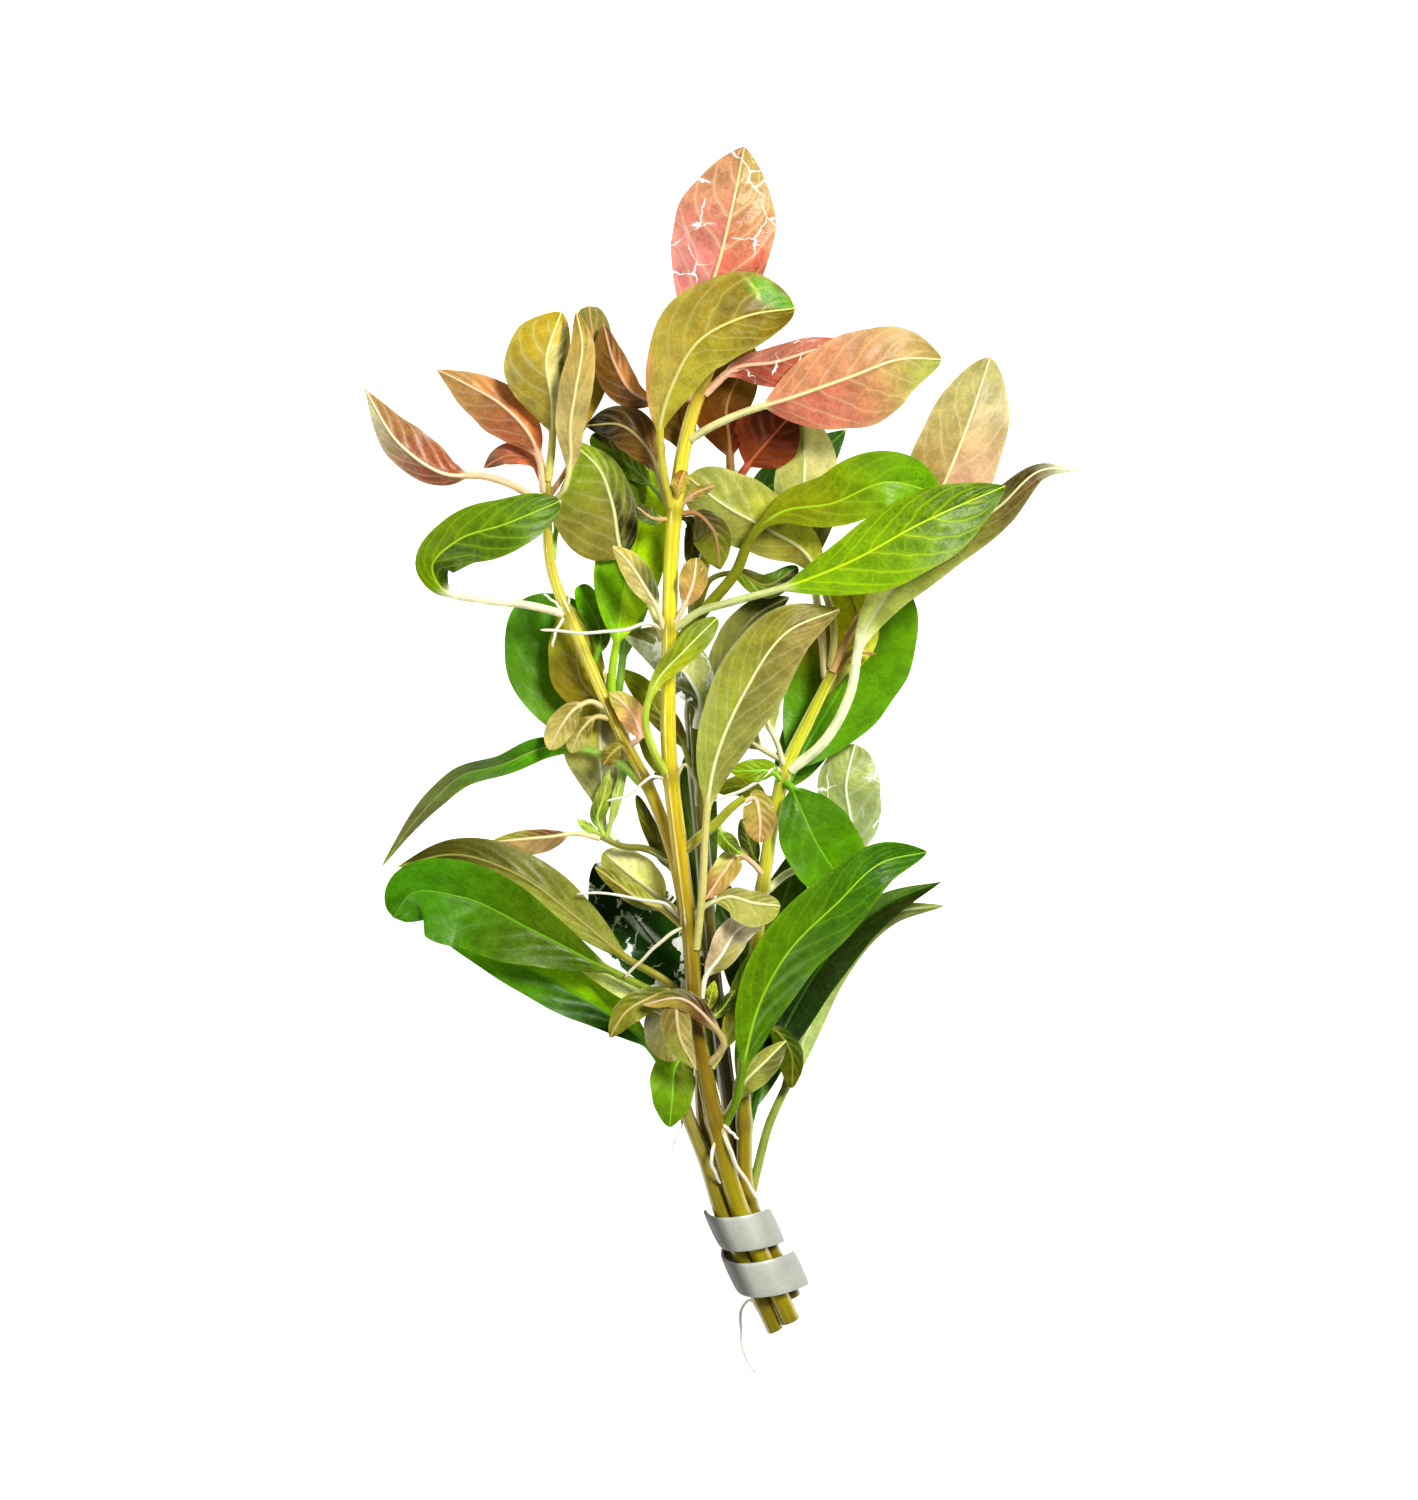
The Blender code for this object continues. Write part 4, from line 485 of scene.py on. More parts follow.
def leaf(name, host, at, path, half, stalk, widest, base, tone, tip, vein, back, under=True, roll=(0.0,),
         fold=0.1, cup=0.0, thick=0.7, wet=0.3, veins=0.36, pairs=6, tip_from=0.5, marks=(),
         stalk_tone=None, node=None):
    """Blade and stalk as one closed skin that leaves the host at a height and follows a path. With q
    the share of the blade's length and m = widest, its half width is w = half (q / m)^a ((1 - q) /
    (1 - m))^b, where half is left and right, a = base and b = a (1 - m) / m; stalk is the stalk's share
    of the whole length. At u, from -1 to 1 across, the middle surface stands w (fold |u| + cup u^2) off
    the midrib, ruffled by 0.3 |u|^2.2 sin at the margin and blistered by 0.08 cos between the veins.
    The faces lie 0.17 (1 - 0.75 u^2) (1 - 0.4 q) off it, with the midrib out on the lower face, which
    shows where under is true, and in on the upper one. Colours run from tone at the base to tip, and
    back is the far face's. roll turns the blade about its midrib, in degrees."""
    rows = 76
    columns = 25
    # Each blade takes its waves and its place on the noise patterns from the letters of its name.
    name_sum = sum(ord(letter) for letter in name + "_leaf")
    spaced = np.linspace(0, 1, rows)
    spaced = 0.8 * spaced + 0.2 * np.sin(spaced * np.pi / 2)
    centre = along(branched(host, at, thick, path), spaced)
    right, up = directions(centre)
    turn = np.radians(np.interp(spaced, np.linspace(0, 1, len(roll)), roll))[:, None]
    right, up = right * np.cos(turn) + up * np.sin(turn), up * np.cos(turn) - right * np.sin(turn)

    v = spaced[:, None]
    s = np.linspace(-1, 1, columns)
    q = np.clip((v - stalk) / (1 - stalk), 0, 1)
    outline = (q / widest)**base * ((1 - q) / (1 - widest))**(base * (1 - widest) / widest)
    wander = 0.02 * np.sin(2 * np.pi * (3.3 * q + 0.17 * name_sum)) * ramp(q, 0.1, 0.4)
    rod = thick * (1 - 0.35 * v) * np.sqrt(np.clip((1 - v) * 9, 0.0004, 1))
    flat = ramp(max(half) * outline, 0.8 * rod, 3.2 * rod)
    u = (1 - flat) * np.sin(s * np.pi / 2) + flat * (s * (0.4 + 0.6 * s**2))
    width = np.maximum(np.where(s < 0, *half) * (outline * (1 + wander)), rod)
    x = u * width

    phase = pairs * (q - 0.24 * abs(u) - 0.12 * abs(u)**3)
    upwards = -1.0 if under else 1.0
    waves = np.sin(2 * np.pi * (2.3 * q + 0.37 * (s > 0) + 0.11 * name_sum))
    blisters = np.cos(2 * np.pi * phase) * ramp(abs(u), 0.05, 0.3) * (1 - ramp(abs(u), 0.75, 1.0))
    lift = upwards * width * (fold * abs(u) + cup * u**2) + 0.3 * outline * abs(u)**2.2 * waves
    lift = lift - 0.08 * upwards * blisters
    half_thick = 0.17 * (1 - 0.75 * u**2) * (1 - 0.4 * q)
    rib = 0.6 * rod * (1 - 0.6 * q) * np.exp(-(x / (0.9 * rod * (1 - 0.45 * q)))**2)
    lower = half_thick + rib
    upper = half_thick - 0.35 * rib
    shown, far = (lower, upper) if under else (upper, lower)
    round_rod = rod * np.sqrt(np.clip(1 - u**2, 0, 1))
    height = ringed((1 - flat) * round_rod + flat * (lift + shown),
                    -(1 - flat) * round_rod + flat * (lift - far))
    points = centre[:, None] + ringed(x, x)[..., None] * right[:, None] + height[..., None] * up[:, None]

    length = run(centre)
    blade_length = length[-1] * (1 - stalk)
    on_stalk = np.broadcast_to(1 - flat, u.shape)
    rod_tone = linear(stalk_tone or vein)
    body = blade_tones(q, u, tone, tip, tip_from, vein, marks, (blade_length, max(half)))
    front = between(body, rod_tone, on_stalk)
    rear = between(linear(back), linear(vein), on_stalk)
    rib_front = between(linear(vein), rod_tone, on_stalk)
    rib_rear = np.broadcast_to(0.5 * linear(vein) + 0.5 * linear(back), body.shape)
    inner = flat * ramp(q, 0.02, 0.1) * (1 - ramp(q, 0.86, 0.98)) * (1 - ramp(abs(u), 0.82, 0.97))
    slim = (0.35 + 0.65 * (1 - q)**0.7) * (1.0 if under else 0.65)
    # wet lowers the roughness, and from 0.45 up it also brings painted highlights of the water film.
    fields = {"phase": phase, "pitch": blade_length / pairs, "inner": inner, "wet": wet * flat,
              "strength": veins, "slim": slim}
    fields = {key: np.broadcast_to(field, u.shape) for key, field in fields.items()}
    spread = np.stack(np.broadcast_arrays(x, length[:, None] + name_sum), -1)
    piece(name + "_leaf", points, tube_faces(rows, 2 * columns), LEAF_SKIN, node or "leaf_" + name,
          {"tint": ringed(front, rear), "rib": ringed(rib_front, rib_rear)},
          {key: ringed(field, field) for key, field in fields.items()}, ringed(spread, spread))


def leaflet(name, host, *entry, fold=0.0, thick=0.5, wet=0.2, **looks):
    """A very small leaf on a thin stalk, which is one with its stem and stands in the stem's node."""
    leaf(name, host, *entry, fold=fold, thick=thick, wet=wet, node=host, **looks)


leaf("top_pink", "stem_main", 63,
     ((-3, 70.5, 28.5), (-2.5, 77, 29.5), (-0.5, 84, 31), (1.5, 92.5, 31), (3.5, 102.5, 28)),
     (9, 8.1), 0.16, 0.54, 1, ("#D87C74", "#CC6C5C"), ("#B4845C", "#A89048"), "#F4D0A0", "#7A8C28",
     roll=(8, -6), fold=0.12, cup=0.05, wet=0.95, veins=0.8, tip_from=0.55, stalk_tone="#D8905C",
     marks=((0.12, 0.85, 0.5, 0.9, 1.3, "#A83420", 0.6),))
leaf("red_folded", "stem_main", 61.5, ((2, 65.5, 29.5), (8.5, 66.5, 30.5), (15, 68.5, 30), (21.5, 70, 29)),
     (2.7, 4.3), 0.15, 0.5, 0.9, ("#AC6C58", "#A04C38"), "#B06448", "#F4C0A0", "#A85030", fold=0.15,
     wet=0.9)
leaf("pink_right", "stem_main", 54,
     ((-2.5, 55.5, 29.5), (3, 58, 31), (11, 60.5, 32.5), (21, 64, 33), (29.5, 67, 31.5), (36.5, 67, 28.5)),
     (7, 8.7), 0.3, 0.52, 0.85, ("#C48460", "#C07058"), ("#AC9450", "#A4AC50"), "#F0D8A0", "#788C28",
     fold=0.12, cup=0.05, wet=0.35, veins=0.5, tip_from=0.6, stalk_tone="#DCD898")
leaf("maroon_left", "stem_main", 60,
     ((-7.5, 60.5, 28), (-11, 60, 27.5), (-15, 61.5, 27), (-18, 66, 26), (-20, 73, 24)),
     (3.7, 2.3), 0.25, 0.5, 0.9, ("#604008", "#D08C40"), ("#84600C", "#684C18"), "#D8A888", "#50300C")
leaflet("brown_behind_left", "stem_left", 44.5,
        ((-26, 49, 20), (-23.5, 58, 21), (-21.5, 66, 22), (-22.5, 76, 22)),
        (2.8, 3.2), 0.3, 0.7, 0.8, "#C0A434", "#8C8440", "#D0A070", "#4C4010")
leaf("olive_hook", "stem_main", 42.5,
     ((-10, 48.5, 30), (-10.5, 55.5, 32.5), (-8.5, 62.5, 34.5), (-4, 70, 36), (3.5, 74, 35.5),
      (12, 75.5, 33)),
     (8.4, 5.7), 0.27, 0.62, 0.95, ("#B8A444", "#ACA030"), "#806C10", "#D4D080", "#5C7010", roll=(0, 10, 0),
     cup=0.1, veins=0.5, pairs=7, stalk_tone="#C8BC48",
     marks=((0.7, -0.4, 0.84, 0, 2.6, "#6C5C10", 0.6), (0.87, -0.6, 0.97, -0.2, 3.6, "#649C04", 1),
            (0.8, -0.95, 0.84, -0.3, 0.35, "#E0D880", 0.7), (0.02, -0.9, 0.3, -0.95, 1.8, "#D49C60", 0.8)))
leaf("dark_centre_left", "stem_main", 42.5,
     ((-10.5, 47, 27), (-12.5, 52, 27.5), (-17, 56, 27.5), (-23, 56, 26)),
     (3.5, 3.7), 0.25, 0.5, 0.9, "#704C08", "#140C04", "#A89C68", "#302808", veins=0.4)
leaflet("green_behind_olive", "stem_main", 42, ((-12, 46, 23.5), (-17, 50.5, 22.5), (-22, 54.5, 21.5)),
        (2.3, 2.3), 0.3, 0.6, 0.7, "#688404", ("#C0EC30", "#60580C"), "#88A848", "#485C14", under=False,
        thick=0.45)
leaf("brown_top", "stem_back", 48, ((1, 53.5, 22), (0.5, 59, 23.5), (3, 65, 24.5), (5, 69.5, 24)),
     (5.5, 4), 0.12, 0.5, 0.8, ("#6C3804", "#5C1C04"), "#847008", "#A07848", "#3C3010", fold=0, wet=0.2)
leaflet("brown_behind_hook", "stem_main", 51, ((-6.5, 53.5, 24.5), (-7.5, 58, 23.5), (-6, 64, 23.5)),
        (3.8, 2.6), 0.06, 0.5, 0.8, "#7C641C", "#7C641C", "#80481C", "#2C1804", thick=0.45)
leaflet("joint_left", "stem_main", 40.5, ((-11.5, 40.5, 27.5), (-14.5, 42.5, 28.5)),
        (1.4, 1.4), 0.1, 0.55, 0.7, "#34740C", "#2C5010", "#D0A878", "#68602C", thick=0.4)
leaflet("joint_top", "stem_main", 44, ((-7.5, 45.5, 29.5), (-6.5, 48.5, 30)),
        (1.4, 1.4), 0.1, 0.6, 0.7, "#C0AC3C", ("#905C14", "#B4A440"), "#D4B060", "#605818", thick=0.4)
leaflet("joint_right", "stem_main", 43, ((-5, 44.5, 28.5), (-1.5, 46, 29.5)),
        (0.9, 1), 0.1, 0.5, 0.7, "#988434", "#848418", "#D8B080", "#605818", thick=0.4)
leaf("dark_red_centre", "stem_back", 47, ((4.5, 50, 21.5), (7.5, 53.5, 23.5), (12, 58.5, 24)),
     (6.5, 5), 0.2, 0.5, 0.9, "#803C14", "#542004", "#C06848", "#50280C", fold=0, wet=0.2)
leaflet("curled_dark", "stem_main", 41.5, ((-5, 41.5, 27.5), (-2, 39, 28), (-0.5, 32, 28)),
        (2.5, 3.8), 0.15, 0.5, 0.9, "#383C04", "#748004", "#A88050", "#302008")
leaflet("dark_beside_joint", "stem_main", 41, ((-5.5, 40, 25), (-5.5, 32.5, 25)),
        (1.6, 1.6), 0.1, 0.5, 0.6, "#443404", "#504C04", "#606018", "#303008", thick=0.4)


# Leaves of the left stem's upper half
# The same thin wet blades on fleshy stalks. The olive, rust and pink ones show their lower faces,
# the three green ones their upper faces; the left front one hooks back over the bunch.
# The dark mark down olive_left's right half is painted shade in the crease beside olive_beside.
leaf("olive_left", "stem_left", 46.8,
     ((-28.5, 53.5, 24.5), (-28.5, 60, 27), (-29.5, 66.5, 29), (-27, 75, 26.5)),
     (7, 4), 0.28, 0.55, 0.8, ("#A08C34", "#ECE49C"), ("#B49C20", "#BCA42C"), "#E4E4A0", "#50640C",
     fold=0.15, cup=0.05, wet=0.4, veins=0.5, stalk_tone="#D8D070",
     marks=((0.15, 0.75, 0.9, 0.55, 1.6, "#403C08", 0.85),))
leaflet("olive_beside", "stem_left", 43,
        ((-26.5, 45.5, 24.5), (-25.5, 50, 26.5), (-25.5, 56, 29), (-24.5, 62.5, 31), (-23.5, 69.5, 31),
         (-24.5, 75, 29)),
        (2.8, 2.8), 0.2, 0.5, 0.8, "#BCA868", "#A88C3C", "#E8E09C", "#58640C", fold=0.1)
leaf("rust_left", "stem_left", 45,
     ((-30.5, 50, 22.5), (-32, 54, 23), (-37, 59.5, 24), (-43, 63, 24.5), (-48, 65.5, 24)),
     (5, 3.4), 0.2, 0.45, 0.9, ("#9C5C38", "#D8783C"), "#AC884C", "#E8C8A0", "#5C3810", wet=0.2)
leaflet("rust_small", "stem_left", 46, ((-32.5, 50.5, 20.5), (-36, 51, 21), (-40, 49, 21.5)),
        (1.5, 2.2), 0.2, 0.5, 0.9, "#D07450", "#60503C", "#B07050", "#401808")
leaf("pink_far_left", "stem_left", 42.5,
     ((-34, 45.5, 23), (-39.5, 47.5, 24), (-46.5, 48, 25), (-53.5, 52.5, 25.5), (-60, 62.5, 23.5)),
     (3, 4.3), 0.36, 0.42, 0.9, ("#844C38", "#A05830"), ("#B8B488", "#9C7844"), "#F0E0B8", "#6C5C28",
     wet=0.5, stalk_tone="#E0C098")
leaflet("green_left_back", "stem_left", 33.5,
        ((-28, 38, 20), (-26, 43.5, 19.5), (-24, 48.5, 19.5), (-26, 53.5, 19)),
        (2, 2.2), 0.2, 0.5, 0.9, "#7CB404", "#70A804", "#A0D048", "#90A048", under=False)
leaf("green_left_front", "stem_left", 25,
     ((-32, 26, 22.5), (-40.5, 27, 23.5), (-46.5, 28.5, 24.5), (-48.5, 32.5, 27), (-44, 37, 29.5),
      (-36.5, 39.5, 30.5), (-27, 43.5, 28.5)),
     (4.5, 5), 0.36, 0.58, 0.9, ("#708C04", "#486004"), "#547404", "#A4C82C", "#A0A858", under=False,
     fold=0.08, veins=0.6, pairs=7, stalk_tone="#F0E8C0")
leaf("green_centre_left", "stem_left", 9.5,
     ((-18.5, 15.5, 21.5), (-17.5, 21.5, 21.5), (-16.5, 28.5, 21.5), (-14.5, 37, 21.5), (-12.5, 45.5, 21.5),
      (-12, 53.5, 20)),
     (6, 5.7), 0.22, 0.45, 0.9, ("#7CB404", "#A4CC04"), ("#808C04", "#B0CC08"), "#A8D420", "#8CA040",
     under=False, cup=0.05, veins=0.6, stalk_tone="#A0C828")
leaflet("green_behind_joint", "stem_left", 16, ((-20.5, 21, 17.5), (-22, 25.5, 17), (-24, 29.5, 16.5)),
        (2.2, 2.2), 0.15, 0.6, 0.6, "#4C6004", ("#90E804", "#689804"), "#78A82C", "#506C18", under=False)
leaf("olive_mid_left", "stem_main", 20.5,
     ((-12.5, 27, 24), (-17, 35, 23.5), (-18.5, 43, 24), (-20.5, 48.5, 24), (-26.5, 54, 23)),
     (10.2, 3.8), 0.4, 0.35, 0.5, ("#847C2C", "#34300C"), "#8CA418", "#D8D890", "#506010", fold=0.08,
     wet=0.4, pairs=7,
     marks=((0.1, 0.3, 0.9, 0.9, 1.6, "#8C8C28", 0.5),))


# Leaves round the middle of the right side
# Broad tan and pale olive blades with the lower face out, two bright green ones in front of them
# with the upper face out, and two young folded leaves at the same joint.
leaf("tan_right", "stem_right", 15,
     ((22, 23, 17), (28, 31, 19.5), (33.5, 39.5, 21.5), (37.5, 48, 23.5), (40.5, 55.5, 24),
      (44.5, 67.5, 20.5)),
     (7, 7.3), 0.34, 0.55, 0.8, ("#BC9C5C", "#E0AC8C"), "#A8A060", "#F0E0B0", "#6C8020", cup=0.05,
     veins=0.5, tip_from=0.55, stalk_tone="#D8B078")
leaflet("bud_right", "stem_right", 15, ((21.5, 18, 16.5), (25.5, 18, 16.5)),
        (0.8, 0.8), 0.1, 0.5, 0.8, "#ECEC70", "#ECEC70", "#A88040", "#504010", thick=0.4)
leaf("pale_olive_upper", "stem_right", 13.5,
     ((16.5, 20.5, 14.5), (15, 30.5, 18), (14, 38, 19.5), (13.5, 45.5, 22), (13.5, 53, 22.5),
      (13, 59.5, 22)),
     (5, 6), 0.42, 0.5, 0.9, "#7C803C", ("#D4D06C", "#ECE098"), "#DCDCB0", "#5C7818", stalk_tone="#D0C088")
leaf("pale_olive_centre", "stem_right", 15.5,
     ((18.5, 21.5, 17), (16.5, 29.5, 18.5), (13.5, 35, 21), (7, 39, 22.5), (0.5, 42.5, 24),
      (-6, 47.5, 23.5)),
     (5.3, 6.3), 0.34, 0.64, 0.9, ("#8C8428", "#B0B028"), "#9CA048", "#DCDCA0", "#5C7818", fold=0.08,
     pairs=7, stalk_tone="#C8C070")
leaf("olive_behind_right", "stem_right", 12,
     ((21, 16.5, 14), (22.5, 21.5, 13.5), (21, 28, 13.5), (17, 33.5, 13.5)),
     (3.7, 3.7), 0.15, 0.5, 0.8, ("#ECEC28", "#CCD428"), ("#ACB010", "#ECEC34"), "#9C9C40", "#3C4C08",
     fold=0, wet=0.2)
leaf("grey_behind_petiole", "stem_back", 9.5,
     ((-2.5, 13, 14), (1, 19, 14.5), (5.5, 24.5, 15), (11, 27.5, 14.5)),
     (3, 3), 0.15, 0.5, 0.8, "#B4B45C", "#3C4808", "#A8A078", "#484810", fold=0, wet=0.2)
leaf("green_right_front", "stem_main", 22,
     ((-4, 25, 28), (1, 26.5, 30), (10, 29, 31.5), (21.5, 33.5, 33.5), (32.5, 39.5, 33), (47, 46, 28.5)),
     (5.3, 7.7), 0.3, 0.56, 1.2, "#78A004", "#4C6C04", "#C4DC24", "#A8B070", under=False, fold=0.12,
     cup=0.06, veins=0.8, pairs=7, stalk_tone="#C8D088")
leaf("green_right_upper", "stem_main", 19,
     ((-3, 25.5, 25), (2, 31.5, 25), (5, 38, 26), (9.5, 41.5, 27), (18, 43, 28), (27, 46.5, 28.5),
      (36.5, 44.5, 25.5)),
     (5.7, 4.5), 0.4, 0.6, 1.1, "#848804", "#649804", "#A0C428", "#A0A860", under=False, cup=0.05, thick=1,
     veins=0.6, stalk_tone="#7C8018")
leaflet("young_left", "stem_main", 22.5,
        ((-11, 25.5, 27.5), (-13, 29, 28.5), (-16, 33.5, 29), (-18.5, 36, 28.5)),
        (2.2, 2.3), 0.2, 0.5, 0.9, ("#C8B870", "#48541C"), "#C0B454", "#E8D8A8", "#8C8838", wet=0.3,
        veins=0.3)
leaflet("young_right", "stem_main", 23.5, ((-6.5, 26, 28), (-5, 30, 29), (-4.5, 34, 28.5)),
        (2.5, 2.3), 0.25, 0.6, 0.9, "#B89044", "#A48C1C", "#ECD8B0", "#8C8838", wet=0.3, veins=0.3)
leaflet("dark_small_right", "stem_back", 27,
        ((-2, 30.5, 18), (2, 31.5, 19), (7, 29.5, 19.5), (12.5, 32.5, 18.5)),
        (1.8, 2.3), 0.35, 0.6, 0.9, ("#4C4C10", "#78901C"), ("#4C7404", "#243404"), "#8C8838", "#486010",
        under=False, veins=0.4)
leaf("long_right", "stem_right", -1,
     ((16.5, 3, 17.5), (21, 11, 19.5), (23, 20.5, 21.5), (27.5, 28, 23.5), (36, 35.5, 25.5), (46, 42.5, 26),
      (53, 48.5, 24.5), (60, 48.5, 22)),
     (4, 4.2), 0.3, 0.45, 1, ("#E4EC7C", "#B4C058"), ("#403004", "#5C4004"), "#D8D4A0", "#4C5808",
     roll=(0, 0, 0, 25), thick=0.9, wet=0.2, pairs=7, tip_from=0.45, stalk_tone="#ECF0C0")


# Leaves of the bunch's middle, left of the stems
# Long narrow blades, the greenest one twisted along its length, and tufts of very young leaves a few
# millimetres long where side shoots begin.
leaf("brown_left", "stem_left", 8.5,
     ((-21, 10.5, 19), (-23.5, 13.5, 18), (-24.5, 18.5, 17.5), (-26, 26.5, 16.5)),
     (5, 4.3), 0.08, 0.45, 0.7, ("#786C0C", "#B4A818"), "#9C9C1C", "#A89848", "#384008", fold=0.08)
leaflet("tan_small_a", "stem_left", 9.5, ((-22, 10, 22), (-24.5, 9, 23), (-27, 6, 24), (-29, 2, 23.5)),
        (2.3, 2.3), 0.28, 0.55, 0.7, "#8C802C", ("#BCB060", "#D4C46C"), "#DCCC98", "#686C20", fold=0.06,
        wet=0.3, veins=0.3)
leaflet("tan_small_b", "stem_left", 7.5, ((-21, 7.5, 21.5), (-23.5, 5.5, 22.5), (-25.5, 1.5, 22.5)),
        (1.8, 1.8), 0.25, 0.55, 0.7, "#786C14", "#B4B058", "#CCBC80", "#606418", fold=0.06, wet=0.3,
        veins=0.3)
leaflet("pink_small_left", "stem_left", 2.5,
        ((-14, 4, 22.5), (-14.5, 6.5, 23.5), (-16.5, 9.5, 23.5), (-19, 11.5, 23.5)),
        (2.2, 2.2), 0.15, 0.5, 0.7, "#E0A46C", "#C0B84C", "#F0C8A8", "#886030", fold=0.06, wet=0.3,
        veins=0.3)
leaflet("olive_bud_left", "stem_left", 1.5, ((-17, 2.5, 22.5), (-18.5, 1.5, 23), (-20, -0.5, 22.5)),
        (1.5, 1.5), 0.25, 0.5, 0.7, "#787018", "#847014", "#B8A860", "#504C10", fold=0.06, thick=0.4)
# dark_beside_stem is dark as painted shade: it fills a shaded band beside the left stem.
leaflet("dark_beside_stem", "stem_left", -19, ((-10, -16, 16), (-12.5, -10.5, 15.5), (-14.5, -5.5, 15.5)),
        (1.3, 1.3), 0.1, 0.5, 0.6, "#585814", ("#A8A828", "#585808"), "#6C6C20", "#34380C", under=False,
        thick=0.45)
leaflet("dark_between_stems", "stem_left", -3.5, ((-10.5, -1.5, 17.5), (-12, 1, 17), (-14, 4.5, 17)),
        (1.2, 1.2), 0.1, 0.5, 0.6, "#A4A42C", "#8C8C28", "#707024", "#38380C", under=False, thick=0.4)
leaf("green_left_long", "stem_left", -3.5,
     ((-17, -0.5, 20.5), (-23, 2, 19.5), (-29, 2.5, 20), (-37, -0.5, 22.5), (-44, -2.5, 23.5),
      (-48, -6, 23), (-52, -10.5, 21.5), (-57, -17.5, 18.5)),
     (3, 3), 0.2, 0.45, 0.8, ("#60AC04", "#408004"), "#787444", "#98B850", "#7C8450", under=False,
     roll=(0, 15, 35, 50, 55, 50, 55), fold=0.05, pairs=8, tip_from=0.4)
leaf("dark_green_left", "stem_left", -1.5,
     ((-17.5, 2, 14.5), (-22, 7, 15), (-26.5, 12, 13.5), (-28.5, 19.5, 12.5), (-27, 28, 12)),
     (8.2, 6), 0.22, 0.68, 0.9, "#608804", "#4C8004", "#68A828", "#506C18", under=False, cup=0.05)
leaf("grey_left", "shoot_low_left", 0.78,
     ((-20, -10.5, 16), (-20, -5.5, 17), (-20.5, 1, 18), (-20.5, 8, 16.5), (-19.5, 15, 15.5)),
     (6.5, 5), 0.14, 0.6, 1.3, ("#90904C", "#ECE4AC"), ("#ECE424", "#60601C"), "#DCDCB8", "#404C10",
     fold=0.08, wet=0.5)
leaflet("small_pink_low", "shoot_low_left", 1,
        ((-24, -12, 18.5), (-29, -12.5, 19), (-34.5, -13, 19.5), (-39, -13.5, 19)),
        (2.8, 1.5), 0.28, 0.5, 0.8, ("#987848", "#683810"), ("#C8A45C", "#9CA038"), "#E8D8A0", "#586410",
        fold=0.06, thick=0.45, wet=0.3, veins=0.3)
leaflet("small_green_a", "shoot_low_left", 0.97, ((-21, -9.5, 18.5), (-20, -6, 18.5), (-19, -1, 19.5)),
        (1.5, 1.5), 0.1, 0.4, 0.8, ("#586808", "#7C8C10"), "#ACB04C", "#B8D060", "#607810", under=False,
        thick=0.45)
leaflet("small_green_b", "shoot_low_left", 0.93, ((-18.5, -9, 19), (-17.5, -4.5, 19), (-16, 0.5, 18)),
        (0.8, 1), 0.1, 0.5, 0.9, "#A8B868", "#A8B868", "#B8D060", "#607810", thick=0.4)
leaflet("small_green_c", "shoot_low_left", 1, ((-22.5, -11, 18), (-24.5, -9.5, 18)),
        (0.8, 0.8), 0.1, 0.5, 0.9, "#98AC28", "#A0B840", "#B8D060", "#607810", under=False, thick=0.4)
leaf("pale_wet", "stem_back", 6, ((-4, 10.5, 15.5), (-5.5, 13.5, 16.5), (-9.5, 18, 17), (-17, 21.5, 17)),
     (3.7, 4.7), 0.1, 0.45, 0.8, ("#4C5818", "#C4C874"), ("#E8ECCC", "#88883C"), "#F0F4E0", "#50641C",
     wet=1)
leaflet("olive_between_stems", "stem_back", -0.5,
        ((-7, 3.5, 14.5), (-10.5, 8, 15), (-13.5, 12, 15), (-17, 15.5, 13.5)),
        (2.3, 2.3), 0.15, 0.5, 0.8, ("#545404", "#786404"), "#A4AC14", "#A8B050", "#505C10", under=False)
leaf("green_narrow", "stem_main", -1.5,
     ((-11.5, 1.5, 27), (-13, 7.5, 28.5), (-11, 13.5, 29.5), (-6.5, 18.5, 30.5), (-1, 24, 29)),
     (2.2, 2.3), 0.3, 0.72, 1.5, ("#848C04", "#BCC008"), "#78880C", "#D4E488", "#90A848", under=False,
     stalk_tone="#B8CC48")


# Leaves of the bunch's middle, on and right of the stems
# One long olive blade lies over the front stem; green and pale ones fan out to the right, with tufts
# of young leaves in front.
leaf("long_olive_centre", "stem_main", -31,
     ((-3.5, -21.5, 25.5), (-3, -11.5, 27), (-1.5, -0.5, 29), (3.5, 11.5, 31), (10.5, 21.5, 31.5),
      (19.5, 25.5, 28.5)),
     (5.7, 6), 0.34, 0.55, 1.1, ("#A4AC3C", "#8C8C40"), ("#7C741C", "#8C7C38"), "#E0E0A4", "#4C5C0C",
     cup=0.05, pairs=8, stalk_tone="#D0C878")
leaf("green_right_back", "stem_right", -5,
     ((13, 1, 11), (18.5, 10.5, 9.5), (24, 19.5, 10), (30.5, 29, 10.5)),
     (9.7, 8.7), 0.12, 0.56, 0.8, "#609404", ("#C0800C", "#689804"), "#70B828", "#507410", under=False,
     fold=0.05, cup=0.08, wet=0.35)
leaflet("khaki_small_right", "stem_right", 0,
        ((7.5, 1.5, 17), (4.5, 3.5, 19), (2, 6.5, 20.5), (0, 10.5, 20.5)),
        (1.8, 2.5), 0.3, 0.5, 0.8, "#585814", "#585814", "#D8D0A0", "#586410", wet=0.4)
leaflet("small_green_mid", "stem_right", -6.5, ((6, -5.5, 12), (3, -4, 11.5), (-1, -5, 11)),
        (1.8, 1.8), 0.15, 0.5, 0.7, "#8C8C10", "#8C8C10", "#90B838", "#506810", under=False, thick=0.45)
leaflet("pale_small_right", "stem_right", -0.5,
        ((9, 3, 17.5), (7.5, 6.5, 18.5), (7.5, 10.5, 19), (8.5, 15.5, 19)),
        (1.3, 2.2), 0.3, 0.6, 0.9, "#C0C858", "#C0C858", "#E8ECC0", "#586410", wet=0.4)
